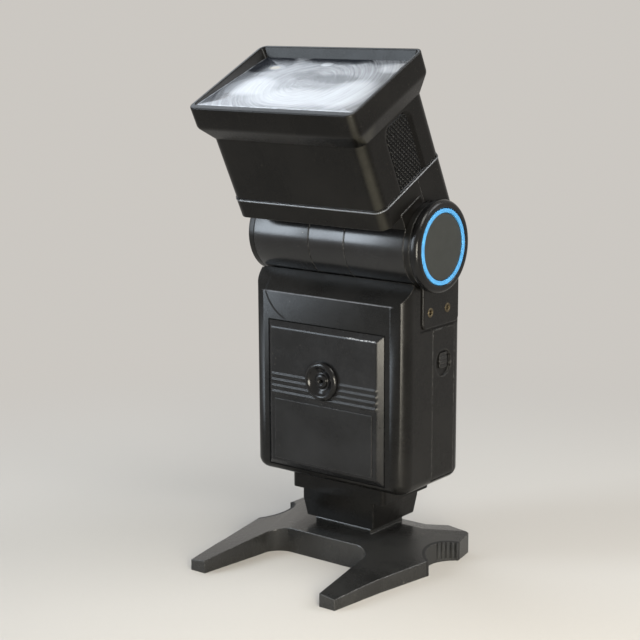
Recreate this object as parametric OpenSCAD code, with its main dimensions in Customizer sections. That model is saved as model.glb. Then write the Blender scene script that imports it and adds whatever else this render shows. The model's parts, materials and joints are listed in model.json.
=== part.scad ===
// Zoom flash unit with a bouncing head, standing in the shoe of its moulded stand.
// The origin is on the table under the middle of the shoe. The front faces -Y.

/* [Case] */
// Width of the case
body_w = 70; // [68:0.5:78]
// Depth of the case from front to back
body_d = 38.9; // [38.5:0.1:44]
// Height of the ridge where the front face ends
ridge_z = 69.9; // [69:0.1:76]
// Slope of the brow above the ridge
brow_angle = 48; // [44:1:52]
// Radius of the upright corners
corner_r = 6; // [4:0.25:7]
// Radius of the bottom edges
bottom_r = 4.2; // [3:0.1:5]
// Radius of the lower edges of the hollow inside the case
floor_r = 1; // [0.5:0.25:1.5]
// Wall of the case halves
wall = 2; // [1.6:0.1:2.2]
// Depth of the back half
back_half_d = 20.5; // [20:0.1:21]
// Radius of the hollow corners inside the case
hollow_r = 3; // [1:0.5:4]
// Height of the flat top behind the hinge
rear_top_z = 77.7; // [76:0.1:79]
// Height of the chamfer behind the flat top
rear_drop = 3; // [2:0.25:4]

/* [Front panel] */
// Distance of the raised panel from the case's sides
panel_side = 8.5; // [7:0.25:11]
// Height of the raised panel at its foot
panel_h = 55.7; // [52:0.1:60]
// Height of the panel's lower edge
panel_z = 3.3; // [3:0.1:5]
// How far the panel stands proud
panel_t = 1.8; // [1:0.1:2.4]
// Width of the panel's bevel
panel_bevel = 2.2; // [1:0.1:3]
// Number of ribs across the panel
rib_count = 4; // [2:1:5]
// Spacing of the ribs
rib_pitch = 2.27; // [2:0.01:3]
// Width of a rib
rib_w = 0.9; // [0.5:0.1:1.4]
// How far a rib stands proud of the panel
rib_proud = 0.35; // [0.2:0.05:0.6]
// Height of the middle of the ribs
rib_z = 35.3; // [34:0.1:37]
// Distance of the bare name plate from the panel's sides
label_side = 4; // [3:0.5:8]
// Height of the bare name plate
label_h = 23.2; // [18:0.1:24]
// Height of the name plate's lower edge
label_z = 6.4; // [6.2:0.1:7]
// Thickness of the name plate
label_t = 0.25; // [0.2:0.05:0.5]

/* [Light sensor] */
// Height of the sensor
sensor_z = 39.3; // [38:0.1:41]
// Diameter of the sensor's ring
sensor_d = 14.9; // [13:0.1:17]
// How far the ring stands proud of the panel
sensor_proud = 2; // [1.2:0.1:3]
// Diameter of the ring's bore
sensor_bore = 9.4; // [8:0.1:10]
// Radius of the ring's rounded edge
sensor_edge = 0.8; // [0.4:0.1:1]
// Ledge of the ring that lies on the panel
sensor_ledge = 1; // [0.6:0.1:1.4]
// Wall of the sensor tube
tube_wall = 1.2; // [0.8:0.1:1.6]
// Length of the sensor tube inside the case
sensor_deep = 4; // [3:0.5:5]
// Diameter of the pinhole in the sensor tube
pinhole_d = 1.4; // [0.8:0.1:2]
// Diameter of the photocell
photocell_d = 5; // [3:0.5:6]

/* [Bounce hinge] */
// Radius of the hinge barrel
hinge_r = 15.46; // [15:0.02:16]
// Height of the hinge axis above the ridge
hinge_rise = 20.7; // [20.3:0.1:21.5]
// Distance of the hinge axis behind the front face
hinge_y = 16; // [15.6:0.1:16.4]
// Forward lean of the head, as stored
lean = 26.3; // [0:0.1:45]
// Width of the middle knuckle
knuckle_w = 15.8; // [12:0.2:18]
// Thickness of the arms at the ends of the barrel
arm_t = 2.25; // [2:0.05:3]
// How far the arms' inner faces lie inside the case's sides
arm_inset = 0.75; // [0.6:0.05:0.75]
// How far the arms' pads stand proud of the case
pad_proud = 0.5; // [0.2:0.1:1]
// Front edge of the arms' pads behind the front face
pad_y = 11.2; // [10.5:0.1:12]
// Distance of the pads' rear edge from the back of the case
pad_rear = 3.9; // [3:0.1:5]
// Height of the pads' lower edge
pad_z = 60.2; // [60:0.1:62]
// Width of the groove round the pads
pad_groove = 0.9; // [0.4:0.1:1]
// Wall of the drums and of the middle knuckle
drum_wall = 2.2; // [1.8:0.1:2.6]
// Thickness of the drums' outer webs
drum_web = 2.4; // [1.8:0.1:3]
// Wall of the hubs round the axle
hub_wall = 2.2; // [1.8:0.1:2.6]
// Half thickness of the web in the middle knuckle
knuckle_web = 3; // [2:0.25:4]
// Thickness of the friction washers
washer_t = 1.2; // [0.8:0.1:1.6]
// Diameter of the side sockets
socket_d = 2.6; // [2.2:0.1:3]
// Distance of the front socket behind the pad's front edge
socket_in = 4.75; // [4:0.05:5.5]
// Height of the front socket above the pad's lower edge
socket_up = 6; // [5:0.1:7]
// Distance from the front socket back to the rear one
socket_step = 11.05; // [10:0.05:12]
// Rise from the front socket to the rear one
socket_rise = 0.2; // [0:0.1:0.5]
// Diameter of the hinge axle
axle_d = 6; // [5:0.5:7]
// Length of the hub between the right arm and the disc
hub_t = 1; // [0.6:0.1:2]
// Radius of the hinge disc
disc_r = 16.75; // [16.25:0.05:18]
// Thickness of the hinge disc
disc_t = 3.6; // [3:0.1:5]
// Radius of the disc's rounded rim
disc_edge = 1.2; // [0.6:0.1:1.4]
// Outer radius of the coloured ring
ring_r = 13.72; // [12.8:0.02:14]
// Width of the coloured ring
ring_w = 1.97; // [1:0.01:3]
// Depth of the pocket for the coloured ring
ring_deep = 1.2; // [0.8:0.1:1.8]

/* [Flash head] */
// Width of the head's box
head_w = 67.6; // [66:0.2:68]
// Distance from the hinge axis to the head's front face
head_front = 18.55; // [18:0.05:19]
// Distance from the hinge axis to the head's back face
head_back = 22; // [21:0.1:24]
// Radius of the head's long edges
head_corner = 4; // [3:0.5:5]
// Height of the box's front lower edge above the axis
head_floor = 17.6; // [17:0.1:18.6]
// Height of the box's back lower edge above the axis
head_heel = 6; // [5:0.5:8]
// Height of the zoom seam above the axis
zoom_seam = 25.4; // [24.6:0.1:27]
// Seam between the head's halves, behind the axis
head_split = 5.1; // [3:0.1:7]
// Wall of the head's box
head_wall = 1.8; // [1.4:0.1:2.2]
// Wall of the frame that the sleeve runs on
frame_wall = 1.5; // [1.2:0.1:1.8]
// Distance of the head's screws from the middle
head_boss_x = 24; // [20:0.5:26]
// Distance of the head's screws below the zoom seam
head_boss_drop = 5; // [4.4:0.1:5.6]
// Length of the frame that stays in the sleeve when it is drawn out
frame_hold = 12; // [10:0.5:14]

/* [Zoom sleeve] */
// Width of the sleeve
sleeve_w = 67.2; // [66:0.2:67.6]
// Wall of the sleeve
sleeve_wall = 1.9; // [1.7:0.1:2.1]
// Length of the sleeve from the zoom seam
sleeve_len = 33.1; // [32:0.1:36]
// Travel of the zoom
zoom_travel = 14; // [8:1:18]
// Width of the grip's recess
grip_w = 16; // [12:0.5:18]
// Length of the grip's recess above the zoom seam
grip_len = 24.6; // [20:0.2:25]
// Middle of the grip's recess behind the axis
grip_v = 2.9; // [2:0.1:5]
// Depth of the grip's recess
grip_deep = 1.1; // [0.6:0.1:1.3]
// Radius of the recess's rounded end
grip_r = 4.5; // [2:0.5:5.5]

/* [Bezel and lens] */
// How far the bezel stands out from the sleeve's sides
bezel_side = 2.65; // [2:0.05:4]
// How far the bezel stands out in front of the head's box
bezel_over = 3.4; // [3:0.05:5]
// How far the bezel stands out behind the head's box
bezel_under = 2.8; // [2.4:0.1:5]
// Radius of the bezel's corners
bezel_corner = 3; // [2:0.5:4]
// Length of the flare below the bezel
flare = 6; // [4:0.1:7]
// Height of the bezel's straight band
band_h = 8.3; // [8:0.05:10]
// Width of the rim at the sides and the back
rim = 1.2; // [0.8:0.1:1.8]
// Width of the rim at the front
rim_front = 2.6; // [1.2:0.1:3]
// Depth of the lens below the rim at its back
lens_sunk = 3; // [2:0.1:3.4]
// Depth of the lens below the rim at its front
lens_sunk_front = 0.3; // [0.2:0.1:2]
// How much the funnel above the lens narrows for each millimetre of depth
funnel_slope = 0.68; // [0.5:0.02:0.8]
// Thickness of the lens
lens_t = 2; // [1.5:0.1:2.4]
// Width of the ledge that carries the lens
lens_ledge = 1.2; // [0.8:0.1:1.6]

/* [Reflector and flash tube] */
// Gap between the reflector's ends and the frame
mirror_side = 0.25; // [0.1:0.05:2]
// Depth of the reflector
mirror_deep = 15; // [12:0.5:17]
// How far the reflector's ends flare from its bottom to its mouth
mirror_flare = 4; // [2:0.5:5]
// Thickness of the reflector
mirror_t = 0.6; // [0.4:0.1:0.8]
// Diameter of the flash tube
tube_d = 4; // [3:0.25:4.5]
// How far the flash tube ends inside the width of the reflector's mouth
tube_short = 1; // [0.5:0.25:2]
// Distance of the flash tube from the bottom of the reflector
tube_off = 3.5; // [2:0.25:5]
// Diameter of the tube's boots
boot_d = 6.4; // [5.5:0.1:7]

/* [Foot module] */
// Distance of the module's flange from the case's sides
flange_side = 13.4; // [11:0.1:15]
// Set-back of the flange behind the front face
flange_y = 6.8; // [5:0.1:8]
// Distance of the module's rear edge from the back of the case
module_rear = 1.9; // [1:0.1:4]
// Thickness of the flange
flange_t = 6.9; // [6:0.1:8]
// Height of the tapered block under the flange
block_h = 10.9; // [9.5:0.1:12]
// Width of the block at its top
block_w = 34; // [30:0.5:38]
// Draft of the block's sides
block_draft = 8; // [4:0.5:10]
// Draft of the block's front and back
block_rake = 9.5; // [4:0.5:12]
// Radius of the block's upright corners
block_corner = 2; // [1:0.25:3]
// Width of the connector between module and case
connector_w = 18; // [14:0.5:20]
// Depth of the connector
connector_d = 4; // [3:0.1:5]
// Distance of the connector behind the front face
connector_y = 9; // [8:0.1:11]
// How far the connector reaches into the module
plug_down = 3; // [2:0.1:4]
// How far the connector reaches past the case's floor
plug_up = 2; // [1:0.1:3]

/* [Shoe foot] */
// Width and length of the standard foot plate
foot_w = 18.6; // [18.4:0.05:18.7]
// Thickness of the foot plate
foot_t = 2; // [1.9:0.05:2.1]
// Width of the neck above the foot plate
neck_w = 11.6; // [11:0.1:12.2]
// Height of the neck between the plate and the block
neck_h = 1.9; // [1.8:0.05:2.4]
// Diameter of the contact pins
contact_d = 1.6; // [1.4:0.1:2]
// Distance of the outer pins from the middle one
contact_pitch = 4; // [3.6:0.1:4.2]
// How far the pins reach into the module
contact_up = 2.5; // [1.5:0.1:2.9]
// Distance of the foot's middle behind the front face
foot_y = 22; // [20:0.1:24]

/* [Stand] */
// Height of the stand's flat top
stand_top = 9.6; // [9:0.1:10.5]
// Half width of the stand at its leg tips
tip_x = 33.3; // [30:0.1:36]
// Distance from the shoe to the leg tips
tip_y = 60.6; // [56:0.1:66]
// Width of a leg at its tip
tip_w = 6.6; // [5:0.1:9]
// Half width of the stand at the bend of the legs
knee_x = 36.1; // [35:0.1:38]
// Distance from the shoe forward to the bend of the legs
knee_y = 37.5; // [32:0.5:42]
// Half width of the stand at the rear of the legs
hip_x = 40.4; // [38:0.1:42]
// Distance from the shoe forward to the rear of the legs
hip_y = 13; // [11:0.1:14]
// Half width of the arch between the legs at its root
arch_x = 23.2; // [21:0.1:25]
// Distance from the shoe forward to the arch
arch_y = 23.6; // [22:0.1:26]
// Radius of the arch's corners
arch_r = 7.5; // [4:0.5:8]
// Radius of the notch in each side
notch_r = 11.3; // [10:0.1:12.5]
// Middle of the notches across the stand
notch_x = 45.9; // [45:0.1:48]
// Middle of the notches forward of the shoe
notch_y = 3.1; // [2:0.1:4]
// Half width of the rear lobes
lobe_x = 38.5; // [37:0.1:40]
// Distance from the shoe to the lobes' rear corners
lobe_y = 16.8; // [15:0.1:18]
// Length of the lobes' outer faces
lobe_run = 10; // [8:0.5:11]
// Distance from the shoe to the lobes' rearmost points
tail_y = 20; // [19:0.1:22]
// Half width between the lobes' rearmost points
tail_x = 27.3; // [25:0.1:29]
// Distance from the shoe to the rear edge between the lobes
waist_y = 13.4; // [12.5:0.1:15]
// Half width of the rear edge between the lobes
waist_x = 21; // [18:0.1:23]
// Steepest slope of the legs' top
leg_fall = 9.3; // [8:0.1:10]
// Direction of the legs' slope, turned forward from sideways
leg_turn = 31.3; // [28:0.1:35]
// Steepest slope of the top beside the shoe
hip_fall = 10.4; // [8:0.1:11]
// Direction of that slope, turned forward from sideways
hip_turn = 16.8; // [12:0.1:20]
// Slope of the top towards the back
tail_fall = 8; // [6:0.1:9]
// Depth of the moulding pockets under the legs
leg_pocket = 1.6; // [1:0.1:2]
// Depth of the moulding pockets under the middle
core_pocket = 5; // [3:0.1:6]
// Wall round the moulding pockets
pocket_wall = 2; // [1.6:0.1:2.4]
// Number of slots in each notch
notch_slots = 6; // [3:1:7]
// Angle between the slots
slot_step = 9; // [8:0.5:10]
// Angle of the first slot, forward of sideways
slot_start = -62; // [-64:1:-60]
// Width of the slots
notch_slot_w = 0.8; // [0.5:0.1:1]
// Depth of the slots
notch_slot_deep = 0.6; // [0.4:0.1:0.8]
// Width of the shoe block
shoe_w = 26; // [24:0.5:30]
// Thickness of the shoe's lips
lip_t = 1.6; // [1.4:0.05:1.7]
// Thickness of the web in front of the foot plate
shoe_stop = 2; // [1.5:0.1:3]
// Diameter of the threaded hole underneath
bush_bore = 5.1; // [4.6:0.1:5.5]
// Diameter of the bush
bush_d = 9.5; // [8.5:0.1:11]
// Height of the bush
bush_h = 6; // [4:0.1:6.5]

/* [Batteries] */
// Diameter of a cell
cell_d = 14; // [13.5:0.1:14.1]
// Length of a cell
cell_len = 50.5; // [49:0.5:51]
// Diameter of a cell's button
button_d = 5.2; // [4.5:0.1:5.5]
// Height of a cell's button
button_h = 1.2; // [1:0.1:1.5]
// Gap between neighbouring cells
cell_gap = 0.1; // [0.05:0.05:0.15]
// Wall of the battery tray
tray_wall = 0.8; // [0.6:0.1:0.9]
// Length of the battery springs
spring_len = 4; // [3:0.5:5]
// Thickness of the contact strips
strip_t = 0.4; // [0.3:0.05:0.5]

/* [Battery door] */
// Height of the door's upper edge
door_top = 59; // [58.8:0.1:59.4]
// Radius of the door's hinge knuckle
door_knuckle = 1.1; // [1:0.05:1.2]
// Diameter of the door's pin
door_pin_d = 1; // [0.8:0.05:1.1]
// Height of the thumb recess
latch_z = 46; // [40:0.5:48]
// Radius of the thumb recess
latch_r = 5; // [4:0.1:5.5]
// Depth of the thumb recess
latch_deep = 0.8; // [0.5:0.1:1]
// Width of the latch's stem
stem_w = 3; // [2.4:0.1:3.4]
// Height of the latch's stem
stem_h = 1.4; // [1.2:0.1:1.6]
// How far the latch's thumb piece covers its slot above and below
thumb_lap = 2.1; // [2.1:0.05:2.3]
// Travel of the latch
latch_travel = 2; // [1:0.1:2]

/* [Inside the case] */
// Room between the capacitors and the front wall
cap_front = 0.9; // [0.5:0.1:2]
// Height of a main capacitor
cap_h = 50; // [40:1:52]
// Gap between the capacitors and the side bosses
cap_side = 0.5; // [0.5:0.1:2]
// Thickness of the circuit boards
board_t = 1.2; // [1:0.1:1.3]
// Width of the transformer
core_w = 16; // [12:0.5:18]
// Height of the transformer
core_h = 15; // [12:0.5:18]
// Diameter of the trigger coil
coil_d = 8; // [6:0.5:10]
// Length of the trigger coil
coil_len = 14; // [10:0.5:16]
// Height of the transformer's foot above the case's floor
core_z = 4; // [3.5:0.5:6]

/* [Back controls] */
// Distance of the control panel from the case's sides
control_side = 9; // [7:0.25:11]
// Height of the control panel
control_h = 56; // [54:0.5:58]
// Height of the control panel's lower edge
control_z = 8; // [7:0.5:9]
// Thickness of the control panel
control_t = 1.2; // [1:0.1:1.4]
// How far the control panel stands proud
control_proud = 0.4; // [0.2:0.1:0.6]
// Radius of the mode dial
dial_r = 10; // [8:0.5:11]
// Distance of the dial from the middle
dial_x = 9; // [8:0.5:11]
// Height of the dial above the panel's lower edge
dial_up = 30; // [28:0.5:31]
// Height of the lower row of controls above the panel's lower edge
row_up = 9; // [8:0.5:11]
// Distance of the film speed slider below the panel's upper edge
speed_drop = 9; // [8:0.5:10]
// Distance of the power switch and the test button from the middle
switch_x = 16; // [14:0.5:17]
// Distance of the lower lamp from the middle
lamp_x = 2; // [0:0.5:4]
// Distance of the upper lamp from the middle
high_lamp_x = 12; // [10:0.5:14]
// Height of the knobs
knob_t = 2; // [1.5:0.1:3]
// Width of a slider's knob
slider_w = 6; // [5:0.5:8]
// Height of a slider's knob
slider_h = 5.2; // [4:0.1:6]
// Width of a slider's stem
slider_stem = 3; // [2:0.1:4]
// Height of a slider's stem
slot_h = 2.4; // [2:0.1:2.8]
// Radius of the dial's stem
dial_stem = 2; // [1.5:0.1:3]
// Travel of the film speed slider
speed_travel = 28; // [20:1:30]
// Travel of the power switch
power_travel = 5; // [3:0.5:6]
// Radius of the test button
test_r = 4.5; // [3.5:0.1:5]
// Travel of the test button
test_travel = 1; // [0.6:0.1:1.2]
// Radius of an indicator lamp
lamp_r = 1.9; // [1.5:0.1:2.2]

/* [Fasteners] */
// Diameter of a screw's shank
screw_d = 2; // [1.6:0.1:2.2]
// Diameter of a screw's head
screw_head = 3.8; // [3.4:0.1:4]
// Height of a screw's head
head_t = 1.4; // [1.2:0.1:1.6]
// Width of the recess for the driver
driver_w = 2.4; // [2:0.1:2.8]
// Width of one arm of that recess
driver_t = 0.6; // [0.4:0.1:0.8]
// Depth of the screws' seats below the inside of the back wall
screw_sunk = 1; // [0.6:0.1:1.4]
// Wall of a screw boss
boss_wall = 1.2; // [1:0.1:1.4]
// Distance of the side bosses from the wall of the case
side_screw_gap = 2.6; // [1:0.1:3]
// Distance of the upper screws from the case's sides
top_screw_side = 11; // [10:0.5:13]
// Height of the upper screws above the pads' lower edge
top_screw_up = 5; // [4:0.5:6]
// Height of the lower side screw
low_screw_z = 12; // [10:0.5:15]
// Height of the upper side screw
high_screw_z = 48; // [40:1:52]

/* [Clearances] */
// Gap round parts that slide or swing
run_gap = 0.35; // [0.3:0.05:0.45]
// Gap between parts that are fastened
fit_gap = 0.1; // [0.05:0.05:0.15]
// Radial clearance of a pin in its hole
pin_gap = 0.05; // [0.03:0.01:0.08]

/* [Hidden] */
$fn = 48;

// Past this length a cutter reaches out of every part
far = 200;
// Overlap of a cutter with the face it starts from
over = 1;

half_w = body_w / 2;
seam_y = body_d - back_half_d;
panel_w = body_w - 2 * panel_side;
label_w = panel_w - 2 * label_side;
arm_in = half_w - arm_inset;
pad_back = body_d - pad_rear;
flange_half = half_w - flange_side;
module_back = body_d - module_rear;
control_w = body_w - 2 * control_side;
foot_bottom = stand_top - foot_t / 2;
body_z = foot_bottom + foot_t + neck_h + block_h + flange_t;
hinge_z = ridge_z + hinge_rise;
saddle_r = hinge_r + run_gap;
knuckle_half = knuckle_w / 2;
drum_start = knuckle_half + fit_gap + fit_gap;
drum_end = arm_in - fit_gap - fit_gap;
arm_out = arm_in + arm_t;
hub_end = arm_out + hub_t;
disc_end = hub_end + disc_t;
axle_start = -(arm_out - arm_t / 2);

frame_w = sleeve_w - 2 * (sleeve_wall + run_gap);
frame_inset = sleeve_wall + run_gap + (head_w - sleeve_w) / 2;
frame_end = zoom_seam + zoom_travel + frame_hold;
bezel_w = sleeve_w + 2 * bezel_side;
bezel_front = head_front + bezel_over;
bezel_back = head_back + bezel_under;
sleeve_start = zoom_seam + fit_gap;
sleeve_end = zoom_seam + sleeve_len;
bezel_start = sleeve_end - flare - fit_gap - 1.6;
band_start = bezel_start + flare;
bezel_end = band_start + band_h;
rim_v = [rim_front - bezel_front, bezel_back - rim];
lens_top = [bezel_end - lens_sunk_front, bezel_end - lens_sunk];
ledge_in = rim + funnel_slope * (lens_sunk + lens_t) + lens_ledge;

pin_x = half_w - door_knuckle;
pin_z = wall + run_gap + door_knuckle;
door_front = seam_y + fit_gap;
tray_front = seam_y;
cell_y = tray_front + fit_gap + cell_d / 2;
tray_back = cell_y + cell_d / 2 + fit_gap;
door_back = tray_back - fit_gap;
door_inner = half_w - wall;
cell_end = door_inner - strip_t - fit_gap;
cell_pitch = cell_d + cell_gap;
cell_z = wall + run_gap + cell_d / 2;
column_top = cell_z + 3 * cell_pitch + cell_d / 2;
tray_left = cell_end - cell_len - spring_len - tray_wall;
control_y = body_d + control_proud;
board_y = tray_front - tray_wall - board_t;
cap_d = board_y - fit_gap - wall - cap_front;
cap_y = board_y - fit_gap - cap_d / 2;
boss_r = screw_d / 2 + boss_wall;
side_screw_x = wall + side_screw_gap + boss_r - half_w;
cap_x = -side_screw_x - boss_r - cap_side - cap_d / 2;
boss_joint = board_y - fit_gap;
top_screw_x = half_w - top_screw_side;
case_screw_places = [[-top_screw_x, pad_z + top_screw_up], [top_screw_x, pad_z + top_screw_up],
    [side_screw_x, low_screw_z], [side_screw_x, high_screw_z]];
screw_seat_y = body_d - wall - screw_sunk;
head_boss_s = zoom_seam - head_boss_drop;
head_seat_y = head_back - head_t - fit_gap;
front_socket = [pad_y + socket_in, pad_z + socket_up];
socket_places = [front_socket, front_socket + [socket_step, socket_rise]];
contact_places = [[0, 0], [-contact_pitch, contact_pitch], [contact_pitch, contact_pitch]];
door_strip_z = [cell_z - cell_d / 4, cell_z + 2 * cell_pitch - cell_d / 4];
shoe_top = foot_bottom + foot_t + fit_gap + lip_t;
ring_front = -panel_t - sensor_proud;
dial_place = [dial_x, control_z + dial_up];
speed_z = control_z + control_h - speed_drop;
power_place = [-switch_x, control_z + row_up];
test_place = [switch_x, control_z + row_up];
lamp_places = [[lamp_x, control_z + row_up], [-high_lamp_x, control_z + dial_up]];
stem_in = tray_back + tray_wall + board_t + fit_gap;
mirror_end = frame_end + mirror_t;
mirror_w = frame_w - 2 * (frame_wall + mirror_t + mirror_side);
mirror_h = head_front + head_back - 2 * (frame_inset + frame_wall + mirror_t);
tube_len = mirror_w - 2 * tube_short;
mirror_mid = (head_back - head_front) / 2;
mirror_steps = 8;
tube_s = frame_end - mirror_deep + tube_d / 2 + tube_off;
boot_neck = tube_d / 2 + 0.4;

// Frames: the case's own frame, and the leaning head's frame on the hinge axis

module in_flash() translate([0, -foot_y, body_z]) children();

module in_head() in_flash() translate([0, hinge_y, hinge_z]) rotate([lean, 0, 0]) children();

module rounded_square(w, h, r) {
    square([w - 2 * r, h], center = true);
    square([w, h - 2 * r], center = true);
    for (x = [-1, 1], y = [-1, 1]) translate([x * (w / 2 - r), y * (h / 2 - r)]) circle(r);
}

module head_section(w, front, back, r)
    translate([0, (back - front) / 2]) rounded_square(w, front + back, r);

module along_x(from, to) translate([from, 0, 0]) rotate([90, 0, 90]) linear_extrude(to - from) children();

module along_y(from, to) translate([0, to, 0]) rotate([90, 0, 0]) linear_extrude(to - from) children();

module along_z(from, to) translate([0, 0, from]) linear_extrude(to - from) children();

module rod_x(from, to, r) translate([from, 0, 0]) rotate([0, 90, 0]) cylinder(h = to - from, r = r);

module rod_y(from, to, r) translate([0, from, 0]) rotate([-90, 0, 0]) cylinder(h = to - from, r = r);

module both_sides() {
    children();
    mirror([1, 0, 0]) children();
}

// A plate with bevelled sides and mitred corners: w by h at its back, narrower by the bevel at its front
module bevelled_plate(w, h, t, bevel) {
    intersection() {
        along_z(0, h) polygon([[-w / 2, 0], [w / 2, 0], [w / 2 - bevel, -t], [bevel - w / 2, -t]]);
        along_x(-w / 2, w / 2) polygon([[0, 0], [0, h], [-t, h - bevel], [-t, bevel]]);
    }
}

// Case

// Side and front views of the case, drawn in by a wall for its hollow, with rounded lower edges
module case_side(inset, edge) {
    difference() {
        union() {
            translate([inset, inset + edge]) square([body_d - 2 * inset, rear_top_z - 2 * inset - edge]);
            translate([inset + edge, inset]) square([body_d - 2 * (inset + edge), edge + over]);
            for (y = [inset + edge, body_d - inset - edge]) translate([y, inset + edge]) circle(edge);
        }
        translate([0, ridge_z]) rotate(brow_angle) translate([-far / 2, -inset]) square(far);
        translate([body_d, rear_top_z - rear_drop]) rotate(-brow_angle) translate([-far / 2, -inset])
            square(far);
        translate([hinge_y, hinge_z]) circle(saddle_r + inset);
    }
}

module case_face(inset, edge) {
    translate([0, rear_top_z / 2 + inset + edge]) square([body_w - 2 * inset, rear_top_z], center = true);
    translate([0, rear_top_z / 2]) square([body_w - 2 * (inset + edge), rear_top_z - 2 * inset],
        center = true);
    for (x = [-1, 1]) translate([x * (half_w - inset - edge), inset + edge]) circle(edge);
}

// An upright corner of the case, whose lower end is rounded like the edges that meet there
module corner_post(inset, r, edge) {
    rotate_extrude() {
        translate([0, inset + edge]) square([r, rear_top_z]);
        translate([0, inset]) square([r - edge, rear_top_z]);
        intersection() {
            translate([r - edge, inset + edge]) circle(edge);
            square([r, rear_top_z]);
        }
    }
}

module case_form(inset, r, edge) {
    post_x = half_w - inset - r;
    intersection() {
        along_x(-half_w, half_w) case_side(inset, edge);
        union() {
            along_x(-post_x, post_x) case_side(inset, edge);
            along_y(inset + r, body_d - inset - r) case_face(inset, edge);
            for (x = [-post_x, post_x], y = [inset + r, body_d - inset - r])
                translate([x, y, 0]) corner_post(inset, r, edge);
        }
    }
}

module pad_outline(grow) {
    translate([hinge_y, hinge_z]) circle(hinge_r + grow);
    intersection() {
        translate([pad_y - grow, pad_z - grow]) square([pad_back - pad_y + 2 * grow, hinge_z - pad_z + grow]);
        union() {
            case_side(0, bottom_r);
            translate([hinge_y, hinge_z]) circle(saddle_r + grow);
        }
    }
}

module door_opening() {
    translate([door_inner - over, seam_y - fit_gap, wall])
        cube([wall + 2 * over, tray_back - seam_y + fit_gap, door_top + fit_gap - wall]);
}

module column_slot() {
    translate([-knuckle_half - fit_gap, hinge_y - hinge_r / 2 - fit_gap, hinge_z - saddle_r - wall - over])
        cube([knuckle_w + 2 * fit_gap, hinge_r + 2 * fit_gap, hinge_r]);
}

module at_case_screws() for (p = case_screw_places) translate([p[0], 0, p[1]]) children();

module case_shell() {
    difference() {
        case_form(0, corner_r, bottom_r);
        case_form(wall, hollow_r, floor_r);
        both_sides() along_x(arm_in - fit_gap, far) pad_outline(pad_groove);
        column_slot();
        translate([0, 0, sensor_z]) rod_y(-over, wall + over, sensor_bore / 2 + fit_gap);
        translate([-connector_w / 2 - fit_gap, connector_y - fit_gap, -over])
            cube([connector_w + 2 * fit_gap, connector_d + 2 * fit_gap, wall + 2 * over]);
    }
}

module front_case() {
    color("#26262a") in_flash() {
        difference() {
            intersection() {
                case_shell();
                translate([-far / 2, -over, -over]) cube([far, seam_y + over, far]);
            }
            translate([pin_x, 0, pin_z]) rod_y(seam_y - over, seam_y + over, door_pin_d / 2 + pin_gap);
        }
        at_case_screws() difference() {
            rod_y(wall - fit_gap, boss_joint, boss_r);
            rod_y(wall + over, seam_y, screw_d / 2);
        }
    }
}

module back_case() {
    color("#242427") in_flash() {
        difference() {
            union() {
                intersection() {
                    case_shell();
                    translate([-far / 2, seam_y, -over]) cube(far);
                }
                at_case_screws() rod_y(boss_joint, body_d - wall + fit_gap, boss_r);
            }
            door_opening();
            translate([0, body_d - control_t + control_proud, control_z + control_h / 2])
                rotate([-90, 0, 0]) linear_extrude(far) rounded_square(control_w + 2 * fit_gap,
                    control_h + 2 * fit_gap, 2);
            at_case_screws() {
                rod_y(0, far, screw_d / 2 + fit_gap);
                rod_y(screw_seat_y, far, screw_head / 2 + fit_gap);
            }
            translate([pin_x, 0, pin_z]) rod_y(tray_back - over, tray_back + over, door_pin_d / 2 + pin_gap);
            control_holes();
        }
    }
}

module driver_recess(y) {
    for (a = [0, 90]) translate([0, y, 0]) rotate([0, a, 0])
        cube([driver_w, head_t, driver_t], center = true);
}

module case_screws() {
    color("#7d7f82") in_flash() at_case_screws() difference() {
        union() {
            rod_y(wall + 2 * over, screw_seat_y + over, screw_d / 2 - pin_gap);
            rod_y(screw_seat_y, screw_seat_y + head_t, screw_head / 2);
        }
        driver_recess(screw_seat_y + head_t);
    }
}

// Front panel and light sensor

module front_panel() {
    color("#2a2a2f") in_flash() {
        difference() {
            union() {
                translate([0, 0, panel_z]) bevelled_plate(panel_w, panel_h, panel_t, panel_bevel);
                intersection() {
                    translate([0, -rib_proud, panel_z])
                        bevelled_plate(panel_w, panel_h, panel_t, panel_bevel);
                    for (i = [0:rib_count - 1])
                        translate([-half_w, -panel_t - rib_proud - over,
                            rib_z + (i - (rib_count - 1) / 2) * rib_pitch - rib_w / 2])
                            cube([body_w, panel_t + rib_proud + over, rib_w]);
                }
            }
            translate([0, 0, sensor_z]) {
                rod_y(-far, over, sensor_d / 2 - sensor_ledge);
                rod_y(-far, -panel_t, sensor_d / 2 + fit_gap);
            }
        }
    }
}

module name_plate() {
    color("#1d1d20") in_flash() translate([-label_w / 2, -panel_t - label_t, label_z])
        cube([label_w, label_t, label_h]);
}

module sensor_bezel() {
    ring_w = (sensor_d - sensor_bore) / 2;
    color("#1b1b1c") in_flash() translate([0, 0, sensor_z]) rotate([90, 0, 0]) rotate_extrude() {
        difference() {
            union() {
                translate([sensor_bore / 2, panel_t]) square([ring_w - sensor_edge, sensor_proud]);
                translate([sensor_bore / 2, panel_t]) square([ring_w, sensor_proud - sensor_edge]);
                translate([sensor_d / 2 - sensor_edge, -ring_front - sensor_edge]) circle(sensor_edge);
                translate([sensor_bore / 2, 0]) square([ring_w - sensor_ledge - fit_gap, panel_t + over]);
            }
            translate([sensor_bore / 2, -ring_front]) circle(sensor_edge);
        }
    }
}

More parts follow.
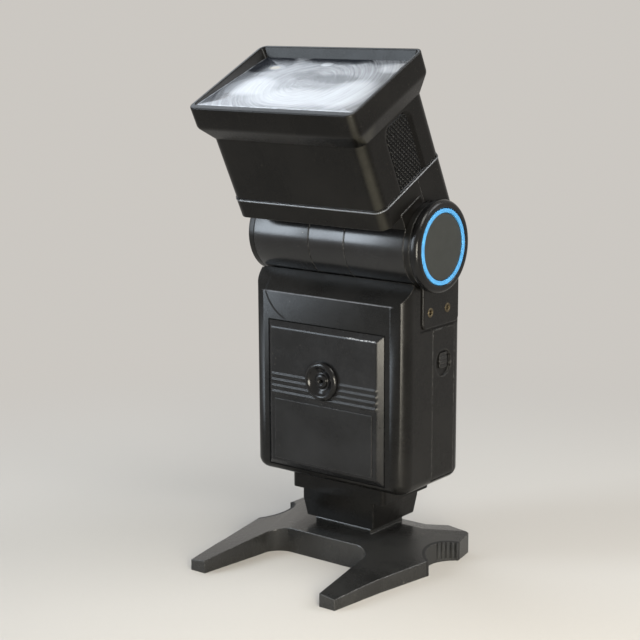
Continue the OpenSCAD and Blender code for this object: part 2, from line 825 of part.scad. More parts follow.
module sensor_tube() {
    color("#101011") in_flash() translate([0, 0, sensor_z]) rotate([90, 0, 0]) rotate_extrude() {
        translate([pinhole_d / 2, 0]) square([sensor_bore / 2 - fit_gap - pinhole_d / 2, tube_wall]);
        translate([sensor_bore / 2 - fit_gap - tube_wall, -wall - sensor_deep])
            square([tube_wall, wall + sensor_deep + tube_wall]);
        translate([pinhole_d / 2, tube_wall - fit_gap]) square([tube_wall, tube_wall + fit_gap]);
    }
}

module photocell() {
    color("#6b4a36") in_flash() translate([0, 0, sensor_z]) {
        rod_y(wall, wall + sensor_deep, photocell_d / 2);
        for (x = [-1, 1]) translate([x * photocell_d / 4, 0, 0])
            rod_y(wall + sensor_deep - over, wall + 2 * sensor_deep, pinhole_d / 4);
    }
}

// Hinge arms, yoke, axle and disc

module arm_solid(hub) {
    difference() {
        union() {
            along_x(arm_in, half_w + pad_proud) pad_outline(0);
            translate([0, hinge_y, hinge_z]) rod_x(arm_in, arm_out + hub, hinge_r);
        }
        for (p = socket_places) translate([0, p[0], p[1]]) rod_x(arm_in - over, far, socket_d / 2);
        translate([0, hinge_y, hinge_z]) rod_x(-far, arm_out - arm_t / 2, axle_d / 2 + pin_gap);
    }
}

module right_arm() {
    color("#202022") in_flash() difference() {
        arm_solid(hub_t);
        translate([0, hinge_y, hinge_z]) rod_x(-far, far, axle_d / 2 + pin_gap);
    }
}

module left_arm() {
    color("#202022") in_flash() mirror([1, 0, 0]) arm_solid(0);
}

module side_sockets() {
    color("#9b8a5a") in_flash() for (p = socket_places) translate([0, p[0], p[1]]) difference() {
        rod_x(arm_in, half_w + pad_proud, socket_d / 2 - fit_gap);
        rod_x(arm_in + strip_t, far, socket_d / 2 - fit_gap - strip_t);
    }
}

module hinge_yoke() {
    yoke_z = hinge_z - saddle_r - wall - run_gap;
    color("#232326") in_flash() {
        difference() {
            union() {
                translate([0, hinge_y, hinge_z]) rod_x(-knuckle_half, knuckle_half, hinge_r);
                translate([-knuckle_half, hinge_y - hinge_r / 2, yoke_z - drum_web / 2])
                    cube([knuckle_w, hinge_r, hinge_r]);
                translate([-half_w + 2 * wall, hinge_y - hinge_r / 2, yoke_z - drum_web])
                    cube([body_w - 4 * wall, hinge_r, drum_web]);
            }
            translate([0, hinge_y, hinge_z]) {
                rod_x(-far, far, axle_d / 2 + pin_gap);
                both_sides() difference() {
                    rod_x(knuckle_web, far, hinge_r - drum_wall);
                    rod_x(0, far, axle_d / 2 + hub_wall);
                }
            }
        }
    }
}

module hinge_axle() {
    color("#8e9093") in_flash() translate([0, hinge_y, hinge_z]) difference() {
        rod_x(axle_start + fit_gap, hub_end, axle_d / 2);
        rod_x(0, far, axle_d / 4);
    }
}

module friction_washers() {
    color("#a3a19a") in_flash() translate([0, hinge_y, hinge_z]) both_sides() difference() {
        rod_x(knuckle_half, knuckle_half + washer_t, axle_d / 2 + hub_wall);
        rod_x(0, far, axle_d / 2 + pin_gap);
    }
}

module hinge_disc() {
    color("#141415") in_flash() translate([0, hinge_y, hinge_z]) rotate([0, 90, 0]) rotate_extrude() {
        difference() {
            union() {
                translate([0, hub_end]) square([disc_r - disc_edge, disc_t]);
                translate([0, hub_end + disc_edge]) square([disc_r, disc_t - 2 * disc_edge]);
                for (z = [hub_end + disc_edge, disc_end - disc_edge])
                    translate([disc_r - disc_edge, z]) circle(disc_edge);
            }
            translate([0, disc_end - ring_deep]) square([ring_r + fit_gap, far]);
            translate([-far, 0]) square([far, far]);
        }
    }
}

module disc_ring() {
    color("#6fc0f5") in_flash() translate([0, hinge_y, hinge_z]) difference() {
        rod_x(disc_end - ring_deep, disc_end, ring_r);
        rod_x(0, far, ring_r - ring_w);
    }
}

module disc_face() {
    color("#414440") in_flash() translate([0, hinge_y, hinge_z])
        rod_x(disc_end - ring_deep, disc_end - ring_deep / 4, ring_r - ring_w - fit_gap);
}

// Battery side

module battery_door() {
    slot_half = (stem_h + latch_travel) / 2 + run_gap;
    color("#222224") in_flash() difference() {
        intersection() {
            case_form(0, corner_r, bottom_r);
            union() {
                translate([door_inner, door_front, pin_z])
                    cube([wall, door_back - door_front, door_top - pin_z]);
                translate([pin_x, 0, pin_z]) rod_y(door_front, door_back, door_knuckle);
            }
        }
        translate([0, cell_y, latch_z]) {
            rod_x(half_w - latch_deep, far, latch_r);
            translate([door_inner - over, -stem_w / 2 - run_gap, -slot_half])
                cube([far, stem_w + 2 * run_gap, 2 * slot_half]);
        }
        translate([pin_x, 0, pin_z]) rod_y(-far, far, door_pin_d / 2 + pin_gap);
        for (z = door_strip_z) translate([door_inner - over, cell_y - cell_d / 4 - fit_gap, z - fit_gap])
            cube([over + strip_t / 2, cell_d / 2 + 2 * fit_gap, cell_pitch + cell_d / 2 + 2 * fit_gap]);
    }
}

module door_pin() {
    color("#8e9093") in_flash() translate([pin_x, 0, pin_z])
        rod_y(seam_y - over + fit_gap, tray_back + over - fit_gap, door_pin_d / 2);
}

// The latch's thumb piece covers its slot at both ends of its travel
module door_latch() {
    thumb_h = stem_h + 2 * thumb_lap;
    groove_w = thumb_h / 7;
    color("#1c1c1e") in_flash() translate([0, cell_y, latch_z + latch_travel / 2]) {
        translate([door_inner + strip_t, -stem_w / 2, -stem_h / 2]) cube([wall - latch_deep, stem_w, stem_h]);
        difference() {
            translate([half_w - latch_deep + fit_gap, -stem_w / 2 - 2 * run_gap, -thumb_h / 2])
                cube([latch_deep - fit_gap, stem_w + 4 * run_gap, thumb_h]);
            for (i = [-1:1]) translate([half_w - latch_deep / 3, -far / 2, (2 * i - 0.5) * groove_w])
                cube([far, far, groove_w]);
        }
    }
}

module door_contacts() {
    color("#b9bcc0") in_flash() for (z = door_strip_z)
        translate([door_inner - strip_t / 2, cell_y - cell_d / 4, z])
            cube([strip_t, cell_d / 2, cell_pitch + cell_d / 2]);
}

module battery_cells() {
    color("#b08a3c") in_flash() for (i = [0:3]) translate([0, cell_y, cell_z + i * cell_pitch]) {
        turned = i % 2 == 1;
        rod_x(cell_end - cell_len + (turned ? button_h : 0), cell_end - (turned ? 0 : button_h), cell_d / 2);
        rod_x(cell_end - (turned ? cell_len : button_h), turned ? cell_end - cell_len + button_h : cell_end,
            button_d / 2);
    }
}

module battery_tray() {
    color("#3a3a3d") in_flash() difference() {
        translate([tray_left - tray_wall, tray_front - tray_wall, wall])
            cube([door_inner - over - fit_gap - tray_left + tray_wall, tray_back + 2 * tray_wall - tray_front,
                column_top + 2 * fit_gap + tray_wall - wall]);
        translate([tray_left, tray_front, -over])
            cube([far, tray_back - tray_front, column_top + 2 * fit_gap + over]);
    }
}

module battery_springs() {
    color("#b9bcc0") in_flash() for (i = [0:3]) translate([0, cell_y, cell_z + i * cell_pitch]) {
        translate([tray_left, -cell_d / 4, -cell_d / 4]) cube([strip_t, cell_d / 2, cell_d / 2]);
        translate([tray_left + strip_t / 2, 0, 0]) rotate([0, 90, 0])
            cylinder(h = spring_len + tray_wall - strip_t / 2, r1 = cell_d / 4, r2 = cell_d / 8);
    }
}

// Inside the case

module main_capacitors() {
    color("#2f3a4d") in_flash() both_sides() translate([cap_x, cap_y, wall]) {
        cylinder(h = cap_h, r = cap_d / 2);
        for (y = [-1, 1]) translate([0, y * cap_d / 6, 0]) cylinder(h = cap_h + wall, r = strip_t);
    }
}

module main_board() {
    board_half = -side_screw_x - boss_r - over;
    color("#5f6b35") in_flash() translate([-board_half, board_y, wall])
        cube([2 * board_half, board_t, pad_z - wall]);
}

module transformer() {
    winding = core_w / 5;
    color("#4a4a4c") in_flash() {
        translate([-core_w / 2, cap_y - cap_d / 4, wall + core_z])
            cube([core_w, board_y - cap_y + cap_d / 4, core_h]);
        translate([winding - core_w / 2, cap_y - cap_d / 3, wall + core_z + winding])
            cube([core_w - 2 * winding, cap_d / 2, core_h - 2 * winding]);
    }
}

module trigger_coil() {
    color("#8a5a2c") in_flash() translate([0, board_y - coil_d / 2 - fit_gap, pad_z - coil_d / 2 - wall])
        rod_x(-coil_len / 2, coil_len / 2, coil_d / 2);
}

module control_board() {
    color("#5f6b35") in_flash() translate([-control_w / 2 + 2 * wall, tray_back + tray_wall, control_z])
        cube([control_w - 4 * wall, board_t, control_h - 3 * wall]);
}

// Back controls

// The openings that the stems pass through, in the panel and in the back wall
module control_holes() {
    for (hole = [[dial_place, dial_stem + run_gap], [test_place, test_r + run_gap],
        [lamp_places[0], lamp_r + fit_gap], [lamp_places[1], lamp_r + fit_gap]])
        translate([hole[0][0], 0, hole[0][1]]) rod_y(body_d - wall - over, far, hole[1]);
    slider_hole([-speed_travel / 2, speed_z], speed_travel);
    slider_hole(power_place, power_travel);
}

module slider_hole(place, travel) {
    translate([place[0] - slider_stem / 2 - run_gap, body_d - wall - over, place[1] - slot_h / 2 - run_gap])
        cube([travel + slider_stem + 2 * run_gap, far, slot_h + 2 * run_gap]);
}

module control_panel() {
    color("#2c2c30") in_flash() difference() {
        translate([0, control_y - control_t, control_z + control_h / 2]) rotate([-90, 0, 0])
            linear_extrude(control_t) rounded_square(control_w, control_h, 2);
        control_holes();
    }
}

module mode_dial() {
    dial_front = control_y + run_gap;
    dial_back = dial_front + knob_t;
    color("#1a1a1b") in_flash() translate([dial_place[0], 0, dial_place[1]]) difference() {
        union() {
            rod_y(dial_front, dial_back, dial_r);
            rod_y(stem_in, dial_front + over, dial_stem);
        }
        for (a = [0:15:345]) rotate([0, a, 0]) translate([dial_r + dial_r / 30, 0, 0])
            rod_y(control_y, far, dial_r / 13);
        translate([-dial_stem / 4, dial_back - knob_t / 5, dial_r / 2])
            cube([dial_stem / 2, far, dial_r / 3]);
    }
}

module slider_knob(place) {
    translate([place[0] - slider_w / 2, control_y + run_gap, place[1] - slider_h / 2]) difference() {
        cube([slider_w, knob_t, slider_h]);
        for (i = [1:2:5]) translate([i * slider_w / 7 + slider_w / 14, knob_t * 0.75, -over])
            cube([slider_w / 14, far, far]);
    }
    translate([place[0] - slider_stem / 2, stem_in, place[1] - slot_h / 2])
        cube([slider_stem, control_y + run_gap + over - stem_in, slot_h]);
}

module power_switch() color("#c9c7bf") in_flash() slider_knob(power_place);

module film_speed_slider() color("#1a1a1b") in_flash() slider_knob([-speed_travel / 2, speed_z]);

module test_button() {
    color("#a8332b") in_flash() translate([test_place[0], 0, test_place[1]])
        rod_y(stem_in + test_travel + run_gap, control_y + test_travel + control_proud, test_r);
}

module indicator_lamps() {
    color("#e08a3c") in_flash() for (p = lamp_places) translate([p[0], 0, p[1]])
        rod_y(stem_in, control_y + control_proud, lamp_r);
}

// Foot module and shoe foot

module module_housing() {
    color("#1f1f21") in_flash() difference() {
        union() {
            along_z(-flange_t, 0) translate([0, (flange_y + module_back) / 2])
                rounded_square(2 * flange_half, module_back - flange_y, block_corner);
            difference() {
                along_z(-flange_t - block_h, over - flange_t) translate([0, (flange_y + module_back) / 2])
                    rounded_square(block_w, module_back - flange_y, block_corner);
                both_sides() translate([block_w / 2, 0, -flange_t]) rotate([0, block_draft, 0])
                    translate([0, -far / 2, -far]) cube(far);
                translate([0, flange_y, -flange_t]) rotate([block_rake, 0, 0])
                    translate([-far / 2, -far, -far]) cube(far);
                translate([0, module_back, -flange_t]) rotate([-block_rake, 0, 0])
                    translate([-far / 2, 0, -far]) cube(far);
            }
        }
        translate([-connector_w / 2 - fit_gap, connector_y - fit_gap, -plug_down])
            cube([connector_w + 2 * fit_gap, connector_d + 2 * fit_gap, far]);
        for (p = contact_places) translate([p[0], foot_y + p[1], -flange_t - block_h - over])
            cylinder(h = contact_up + fit_gap + over, r = contact_d / 2 + pin_gap);
    }
}

module module_connector() {
    color("#3b3a36") in_flash() translate([-connector_w / 2, connector_y, -plug_down])
        cube([connector_w, connector_d, plug_down + wall + plug_up]);
}

module shoe_foot() {
    color("#8b8d90") in_flash() translate([0, foot_y, -body_z]) difference() {
        union() {
            translate([-foot_w / 2, -foot_w / 2, foot_bottom]) cube([foot_w, foot_w, foot_t]);
            translate([-neck_w / 2, -foot_w / 2, foot_bottom + foot_t - over])
                cube([neck_w, foot_w, neck_h + over]);
        }
        for (p = contact_places) translate([p[0], p[1], 0]) cylinder(h = far, r = contact_d / 2 + pin_gap);
    }
}

module shoe_contacts() {
    color("#c7a455") in_flash() translate([0, foot_y, -body_z]) for (p = contact_places)
        translate([p[0], p[1], foot_bottom]) cylinder(h = foot_t + neck_h + contact_up, r = contact_d / 2);
}

// Stand

module stand_half_outline() {
    polygon([[0, -arch_y], [arch_x, -arch_y], [arch_x, -arch_y - arch_r], [tip_x - tip_w, -tip_y],
        [tip_x, -tip_y], [knee_x, -knee_y], [hip_x, -hip_y], [hip_x, lobe_y - lobe_run], [lobe_x, lobe_y],
        [tail_x, tail_y], [waist_x, waist_y], [0, waist_y]]);
}

module stand_outline() {
    difference() {
        union() {
            stand_half_outline();
            mirror([1, 0]) stand_half_outline();
        }
        for (x = [-1, 1]) translate([x * notch_x, -notch_y]) circle(notch_r);
    }
    for (x = [-1, 1]) difference() {
        translate([x * (arch_x + over - (arch_r + over) / 2), (over - arch_r) / 2 - arch_y])
            square(arch_r + over, center = true);
        translate([x * (arch_x - arch_r), -arch_y - arch_r]) circle(arch_r);
    }
}

// Cutter that takes away what lies above a plane through a point, falling away along an outward direction
module fall(at, turn, slope) {
    translate(at) rotate([0, 0, turn]) rotate([0, slope, 0]) translate([0, -far / 2, 0]) cube(far);
}

module stand_base() {
    color("#29292c") difference() {
        union() {
            difference() {
                along_z(0, stand_top) stand_outline();
                fall([0, 6, stand_top], 90, tail_fall);
                both_sides() {
                    fall([arch_x - arch_r, -arch_y, stand_top], -leg_turn, leg_fall);
                    fall([shoe_w / 2 + 6, -hip_y, stand_top], -hip_turn, hip_fall);
                }
            }
            translate([-shoe_w / 2, -foot_w / 2 - shoe_stop, over])
                cube([shoe_w, foot_w + shoe_stop, shoe_top - over]);
        }
        translate([-foot_w / 2 - fit_gap, -foot_w / 2 - fit_gap, foot_bottom - fit_gap])
            cube([foot_w + 2 * fit_gap, far, foot_t + 2 * fit_gap]);
        translate([-neck_w / 2 - run_gap, -foot_w / 2 - fit_gap, foot_bottom])
            cube([neck_w + 2 * run_gap, far, far]);
        translate([0, 0, -over]) cylinder(h = bush_h + over, r = bush_d / 2);
        both_sides() for (i = [0:notch_slots - 1])
            rotate_about([notch_x, -notch_y], slot_start + i * slot_step)
                translate([-notch_r - notch_slot_deep, 0, over])
                    cube([2 * notch_slot_deep, notch_slot_w, stand_top]);
        stand_pockets();
    }
}

module rotate_about(centre, angle) translate([centre[0], centre[1], 0]) rotate(angle) children();

// Moulding pockets under the stand, kept narrow by ribs
module stand_pockets() {
    both_sides() {
        along_z(-over, leg_pocket) polygon([[tip_x - tip_w + pocket_wall, -tip_y + pocket_wall],
            [tip_x - pocket_wall, -tip_y + pocket_wall], [knee_x - pocket_wall, -knee_y],
            [knee_x - pocket_wall, -arch_y - arch_r], [arch_x + pocket_wall, -arch_y - arch_r]]);
        for (i = [0:1]) translate([bush_d / 2 + 2 * pocket_wall, (i - 1) * foot_w / 2, -over])
            cube([foot_w / 2, foot_w / 2 - pocket_wall, core_pocket + over]);
    }
}

module tripod_bush() {
    color("#b08d4a") difference() {
        cylinder(h = bush_h - fit_gap, r = bush_d / 2 - pin_gap);
        translate([0, 0, -over]) cylinder(h = bush_h + over, r = bush_bore / 2);
    }
}

// Flash head

module head_prism(inset) {
    difference() {
        along_z(head_heel + inset, zoom_seam) head_section(head_w - 2 * inset, head_front - inset,
            head_back - inset, head_corner - inset);
        translate([-far / 2, -far, -far]) cube([far, far, far + head_floor + inset]);
        rod_x(-far, far, saddle_r + inset);
    }
}

module frame_outline(inset)
    head_section(frame_w - 2 * inset, head_front - frame_inset - inset, head_back - frame_inset - inset,
        max(head_corner - frame_inset - inset, fit_gap));

module head_shell() {
    difference() {
        union() {
            head_prism(0);
            along_z(zoom_seam - over, frame_end) frame_outline(0);
        }
        difference() {
            head_prism(head_wall);
            translate([-far / 2, -far / 2, zoom_seam - head_wall]) cube(far);
        }
        along_z(zoom_seam - head_wall - over, frame_end + over) frame_outline(frame_wall);
    }
}

module at_head_screws() for (x = [-1, 1]) translate([x * head_boss_x, 0, head_boss_s]) children();

module drum() {
    rod_x(drum_start, drum_end, hinge_r);
    translate([drum_start, -head_front / 2, hinge_r / 2])
        cube([drum_end - drum_start, head_front / 2 + head_split - over,
            head_floor + head_wall / 2 - hinge_r / 2]);
}

module drum_hollow() {
    difference() {
        rod_x(0, drum_end - drum_web, hinge_r - drum_wall);
        rod_x(drum_start + washer_t, far, axle_d / 2 + hub_wall);
    }
    rod_x(0, far, axle_d / 2 + pin_gap);
}

module head_front_half() {
    color("#202023") in_head() difference() {
        union() {
            intersection() {
                head_shell();
                translate([-far / 2, -far + head_split, 0]) cube(far);
            }
            both_sides() drum();
            at_head_screws() rod_y(-2 * boss_r, head_split, boss_r);
        }
        both_sides() drum_hollow();
        at_head_screws() rod_y(-1.5 * boss_r, far, screw_d / 2);
    }
}

module head_back_half() {
    color("#1f1f21") in_head() difference() {
        union() {
            intersection() {
                head_shell();
                translate([-far / 2, head_split, 0]) cube(far);
            }
            at_head_screws() rod_y(head_split, head_back - head_wall + fit_gap, boss_r);
        }
        at_head_screws() {
            rod_y(-far, far, screw_d / 2 + fit_gap);
            rod_y(head_seat_y, far, screw_head / 2 + fit_gap);
        }
    }
}

module head_screws() {
    color("#7d7f82") in_head() at_head_screws() difference() {
        union() {
            rod_y(-boss_r, head_seat_y + over, screw_d / 2 - pin_gap);
            rod_y(head_seat_y, head_seat_y + head_t, screw_head / 2);
        }
        driver_recess(head_seat_y + head_t);
    }
}

// Reflector: a trough whose section is a parabola, deeper towards its back
function mirror_curve(grow) = [for (i = [-mirror_steps:mirror_steps])
    let (v = i / mirror_steps) [v * (mirror_h / 2 + grow), mirror_deep * (v * v - 1) - grow * (1 - v * v)]];

module mirror_trough(grow) {
    half_mouth = mirror_w / 2 + grow;
    half_root = half_mouth - mirror_flare;
    translate([0, mirror_mid, mirror_end]) intersection() {
        along_x(-half_mouth, half_mouth) polygon(mirror_curve(grow));
        along_y(-mirror_h, mirror_h) polygon([[-half_mouth, 0], [half_mouth, 0],
            [half_root, -mirror_deep - grow], [-half_root, -mirror_deep - grow]]);
    }
}

module reflector() {
    color("#c9ccd0") in_head() difference() {
        union() {
            mirror_trough(mirror_t);
            along_z(frame_end, mirror_end) frame_outline(run_gap);
        }
        translate([0, 0, fit_gap]) mirror_trough(0);
        translate([0, 0, mirror_end]) translate([-mirror_w / 2, mirror_mid - mirror_h / 2, -fit_gap])
            cube([mirror_w, mirror_h, far]);
        translate([0, mirror_mid, tube_s]) rod_x(-far, far, boot_neck + fit_gap);
    }
}

module flash_tube() {
    color("#dfe6ea") in_head() translate([0, mirror_mid, tube_s])
        rod_x(-tube_len / 2, tube_len / 2, tube_d / 2);
}

module tube_boots() {
    color("#3c3c3e") in_head() translate([0, mirror_mid, tube_s]) both_sides() difference() {
        union() {
            rod_x(tube_len / 2 - tube_d, frame_w / 2 - frame_wall - fit_gap, boot_neck);
            rod_x(mirror_w / 2 + mirror_t - mirror_flare / 4, frame_w / 2 - frame_wall - fit_gap, boot_d / 2);
        }
        rod_x(0, tube_len / 2, tube_d / 2 + pin_gap);
    }
}

// Zoom slide

module sleeve_outline(inset)
    head_section(sleeve_w - 2 * inset, head_front + (sleeve_w - head_w) / 2 - inset,
        head_back + (sleeve_w - head_w) / 2 - inset, head_corner - (inset > 0 ? 2 : 0));

module grip_outline(inset) {
    translate([grip_v - grip_w / 2 + inset, 0]) square([grip_w - 2 * inset, grip_len - grip_r]);
    translate([grip_v - grip_w / 2 + grip_r, 0]) square([grip_w - 2 * grip_r, grip_len - inset]);
    for (y = [-1, 1]) translate([grip_v + y * (grip_w / 2 - grip_r), grip_len - grip_r])
        circle(grip_r - inset);
}

module zoom_sleeve() {
    color("#1c1b1b") in_head() difference() {
        along_z(sleeve_start, sleeve_end) sleeve_outline(0);
        along_z(sleeve_start - over, sleeve_end + over) sleeve_outline(sleeve_wall);
        both_sides() translate([0, 0, sleeve_start - over]) along_x(sleeve_w / 2 - grip_deep, far)
            translate([0, over]) union() {
                grip_outline(0);
                translate([grip_v - grip_w / 2, -2 * over]) square([grip_w, 3 * over]);
            }
    }
}

module grip_pads() {
    color("#131313") in_head() both_sides() translate([0, 0, sleeve_start])
        along_x(sleeve_w / 2 - grip_deep, sleeve_w / 2 - grip_deep / 2) grip_outline(grip_deep * 0.7);
}

module bezel_outline(inset)
    head_section(bezel_w - 2 * inset, bezel_front - inset, bezel_back - inset, bezel_corner);

// A four-sided funnel that narrows downwards from the rim's inner edge, drawn in by a gap
module rim_funnel(gap) {
    deep = lens_sunk + lens_t + over;
    low = bezel_end - deep;
    top = bezel_end + over;
    half_top = bezel_w / 2 - rim - gap + funnel_slope * over;
    half_low = half_top - funnel_slope * (deep + over);
    v_top = [rim_v[0] + gap - funnel_slope * over, rim_v[1] - gap + funnel_slope * over];
    v_low = [v_top[0] + funnel_slope * (deep + over), v_top[1] - funnel_slope * (deep + over)];
    intersection() {
        along_y(-bezel_front, bezel_back)
            polygon([[-half_low, low], [half_low, low], [half_top, top], [-half_top, top]]);
        along_x(-bezel_w / 2, bezel_w / 2)
            polygon([[v_low[0], low], [v_low[1], low], [v_top[1], top], [v_top[0], top]]);
    }
}

// What lies above the lens's sloping lower face, up to a distance from its upper face
module above_lens(reach) {
    along_x(-half_w - bezel_w, bezel_w + half_w) polygon([[rim_v[0] - rim, lens_top[0] - lens_t],
        [rim_v[1] + rim, lens_top[1] - lens_t], [rim_v[1] + rim, lens_top[1] + reach],
        [rim_v[0] - rim, lens_top[0] + reach]]);
}

module bezel() {
    color("#19191a") in_head() difference() {
        union() {
            hull() {
                along_z(bezel_start, bezel_start + 0.1) sleeve_outline(0);
                along_z(band_start - 0.1, band_start) bezel_outline(0);
            }
            along_z(band_start - 0.1, bezel_end) bezel_outline(0);
        }
        along_z(bezel_start - over, sleeve_end + fit_gap) offset_outline();
        along_z(sleeve_end, bezel_end) bezel_outline(ledge_in);
        intersection() {
            rim_funnel(0);
            above_lens(far);
        }
    }
}

// The sleeve's outline with a fastening gap, for the socket that it fits
module offset_outline()
    head_section(sleeve_w + 2 * fit_gap, head_front + (sleeve_w - head_w) / 2 + fit_gap,
        head_back + (sleeve_w - head_w) / 2 + fit_gap, head_corner);

module fresnel_lens() {
    color("#d5dade", 0.5) in_head() intersection() {
        rim_funnel(fit_gap);
        above_lens(0);
    }
}

stand_base();
tripod_bush();
module_housing();
module_connector();
shoe_foot();
shoe_contacts();
front_case();
back_case();
case_screws();
front_panel();
name_plate();
sensor_bezel();
sensor_tube();
photocell();
right_arm();
left_arm();
side_sockets();
battery_door();
door_pin();
door_latch();
door_contacts();
battery_cells();
battery_tray();
battery_springs();
main_capacitors();
main_board();
transformer();
trigger_coil();
control_board();
control_panel();
mode_dial();
power_switch();
film_speed_slider();
test_button();
indicator_lamps();
hinge_yoke();
hinge_axle();
friction_washers();
hinge_disc();
disc_ring();
disc_face();
head_front_half();
head_back_half();
head_screws();
reflector();
flash_tube();
tube_boots();
zoom_sleeve();
grip_pads();
bezel();
fresnel_lens();
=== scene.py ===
"""Looks of the zoom flash unit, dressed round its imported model.

Lengths are written in millimetres in two frames of the object: the case's frame, whose origin is the middle
of the front face's lower edge, and the head's frame, which leans with the head on the hinge axis.
"""
import json
import math
from functools import partial, partialmethod
from types import SimpleNamespace as Sizes

import bmesh
import bpy
import numpy as np
from mathutils import Matrix, Vector

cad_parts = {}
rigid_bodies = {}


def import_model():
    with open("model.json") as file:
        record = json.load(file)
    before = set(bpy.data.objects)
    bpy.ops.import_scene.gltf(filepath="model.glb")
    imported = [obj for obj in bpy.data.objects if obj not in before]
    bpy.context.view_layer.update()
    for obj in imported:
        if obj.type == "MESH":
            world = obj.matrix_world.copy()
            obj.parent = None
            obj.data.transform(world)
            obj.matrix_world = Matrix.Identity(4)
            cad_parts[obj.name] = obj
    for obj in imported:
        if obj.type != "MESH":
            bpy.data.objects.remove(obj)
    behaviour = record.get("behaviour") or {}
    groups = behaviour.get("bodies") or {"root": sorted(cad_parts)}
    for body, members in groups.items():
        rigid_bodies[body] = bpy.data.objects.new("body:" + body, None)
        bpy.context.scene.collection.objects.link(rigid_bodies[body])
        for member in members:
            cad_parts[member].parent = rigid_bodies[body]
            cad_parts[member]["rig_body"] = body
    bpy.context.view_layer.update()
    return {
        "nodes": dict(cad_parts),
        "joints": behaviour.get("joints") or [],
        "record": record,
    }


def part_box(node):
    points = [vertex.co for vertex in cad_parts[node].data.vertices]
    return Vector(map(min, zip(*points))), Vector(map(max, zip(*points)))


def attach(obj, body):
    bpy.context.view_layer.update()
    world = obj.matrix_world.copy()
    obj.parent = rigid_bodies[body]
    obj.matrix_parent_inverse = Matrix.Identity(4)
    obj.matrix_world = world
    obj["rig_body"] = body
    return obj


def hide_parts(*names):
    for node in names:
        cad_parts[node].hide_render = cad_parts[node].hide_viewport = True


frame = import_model()

MM = 0.001
SLOTS = {part["node"]: part["material_slot"] for part in frame["record"]["subparts"]}
JOINTS = {joint["name"]: joint for joint in frame["joints"]}
HINGE = np.array(JOINTS["head_tilt"]["pos_m"]) / MM
DRAW = np.array(JOINTS["zoom_slide"]["axis"])
ORIGIN = np.array(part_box("front_case")[0]) / MM * [0, 1, 1]

# Outer sizes of the head's pieces in its own frame: half widths, reach in front and behind, radius of the
# upright corners, and heights along the lean

SLEEVE = Sizes(half=33.6, front=18.35, back=21.8, corner=4, inner_corner=2.1, low=25.5, high=58.5, wall=1.9)
GRIP = Sizes(v=2.9, half=8, top=50.1, corner=4.5, deep=1.1, below=60)
PIMPLE = Sizes(pitch=1.55, row=1.55 * 0.866, radius=0.46, proud=0.5, margin=0.3)
BEZEL = Sizes(half=36.25, front=21.95, back=24.8, corner=3, low=50.8, band=56.8, high=65.1, rim=1.2,
              rim_front=2.6, rim_corner=1.4, gap=0.1)
LENS = Sizes(front_half=34.8, back_half=32.95, front=19.1, back=21.5, front_s=64.8, back_s=62.1, thick=2,
             corner=0.8)
BOX = Sizes(half=33.8, front=18.55, back=22, corner=4, top=25.4)
DRUM = Sizes(start=8.1, end=34.05, radius=15.49)

# Sizes in the case's frame

PANEL = Sizes(half=26.5, low=3.3, high=59, thick=1.8, bevel=2.2, blend=0.18, gap=0.42)
RIBS = Sizes(count=4, pitch=2.27, middle=35.3, half=0.6, proud=0.35, reach=4.6)
SENSOR = Sizes(z=39.3, radius=7.45, front=-3.8)
SOCKETS = ((15.95, 66.2), (27, 66.4))
SOCKET_HOLE = 1.15
ARM = Sizes(front=11.3, back=34.6, low=60.3, high=81.6, inner=34.3, proud=1.25, corner=2.2, edge=0.7, margin=2.4,
            above=140.3)
HUB = Sizes(radius=15.46, inner=34.2, outer=36.5)
DISC = Sizes(radius=16.75, hub=37.5, end=41.1, bore=4, ring=13.72, ring_w=1.55, deep=1.2)
AXIS = (0, 16, 90.6)
CONTROL = Sizes(face=39.3, dial=(9, 38), test=(16, 17), test_r=4.5, lamps=((2, 17), (-12, 38)), lamp_r=1.9,
                power=(-16, 17), speed=(-14, 55), flutes=24, flute=0.6, below=-2.4)
MARK = Sizes(high=0.04, low=-0.03, ticks=11.5, dots=13.9, over=4.6, apart=5, line=22.5)

# Places of wear, print, painted highlight and painted shade, from the photograph, in the shared frame

IN_FRONT = ORIGIN[1] + 8
RIDGE = Sizes(z=ORIGIN[2] + 69.9, half=(30.5, 29), wide=(0.36, 0.1))
SCRATCH = Sizes(x=-13.2, z=104.9, radius=15.65, end=-18.2, fade=2, wide=(0.5, 0.15))
NICKS = Sizes(z=87.15, start=(9, 13), end=(25, 24), wide=(0.3, 0.12))
NOTCH = Sizes(x=45.9, y=-3.1, radius=11.3, near=(1.6, 1), slot=(0.12, 0.3))
CELL = Sizes(z=ORIGIN[2] + 9.35, y=ORIGIN[1] + 25.5, pitch=14.1, card=(5.7, 5.9, 6.6, 6.4),
             band=(14, 26), fade=0.4)


# Frames

def in_case(points):
    """Points in the case's frame become metres in the shared frame."""
    return (np.asarray(points, float) + ORIGIN) * MM


def in_head(points):
    """Points (across, behind, along) in the leaning head's frame become metres in the shared frame."""
    axes = np.array([[1, 0, 0], [0, DRAW[2], -DRAW[1]], DRAW])
    return (HINGE + np.asarray(points, float) @ axes) * MM


# Surfaces on grids

def grid(*values):
    """Arrays of coordinates, spread over one grid and stacked into its points."""
    return np.stack(np.broadcast_arrays(*values), -1)


def patch(points, close=False, keep=None):
    """A grid of points (rows, columns, 3) with its quads, or with those to keep; closed rows are rings."""
    rows, columns = points.shape[:2]
    i = np.arange(rows - 1)[:, None]
    j = np.arange(columns if close else columns - 1)[None, :]
    next_j = (j + 1) % columns
    quads = np.stack([i * columns + j, i * columns + next_j, (i + 1) * columns + next_j, (i + 1) * columns + j], -1)
    return points.reshape(-1, 3), quads.reshape(-1, 4) if keep is None else quads[keep]


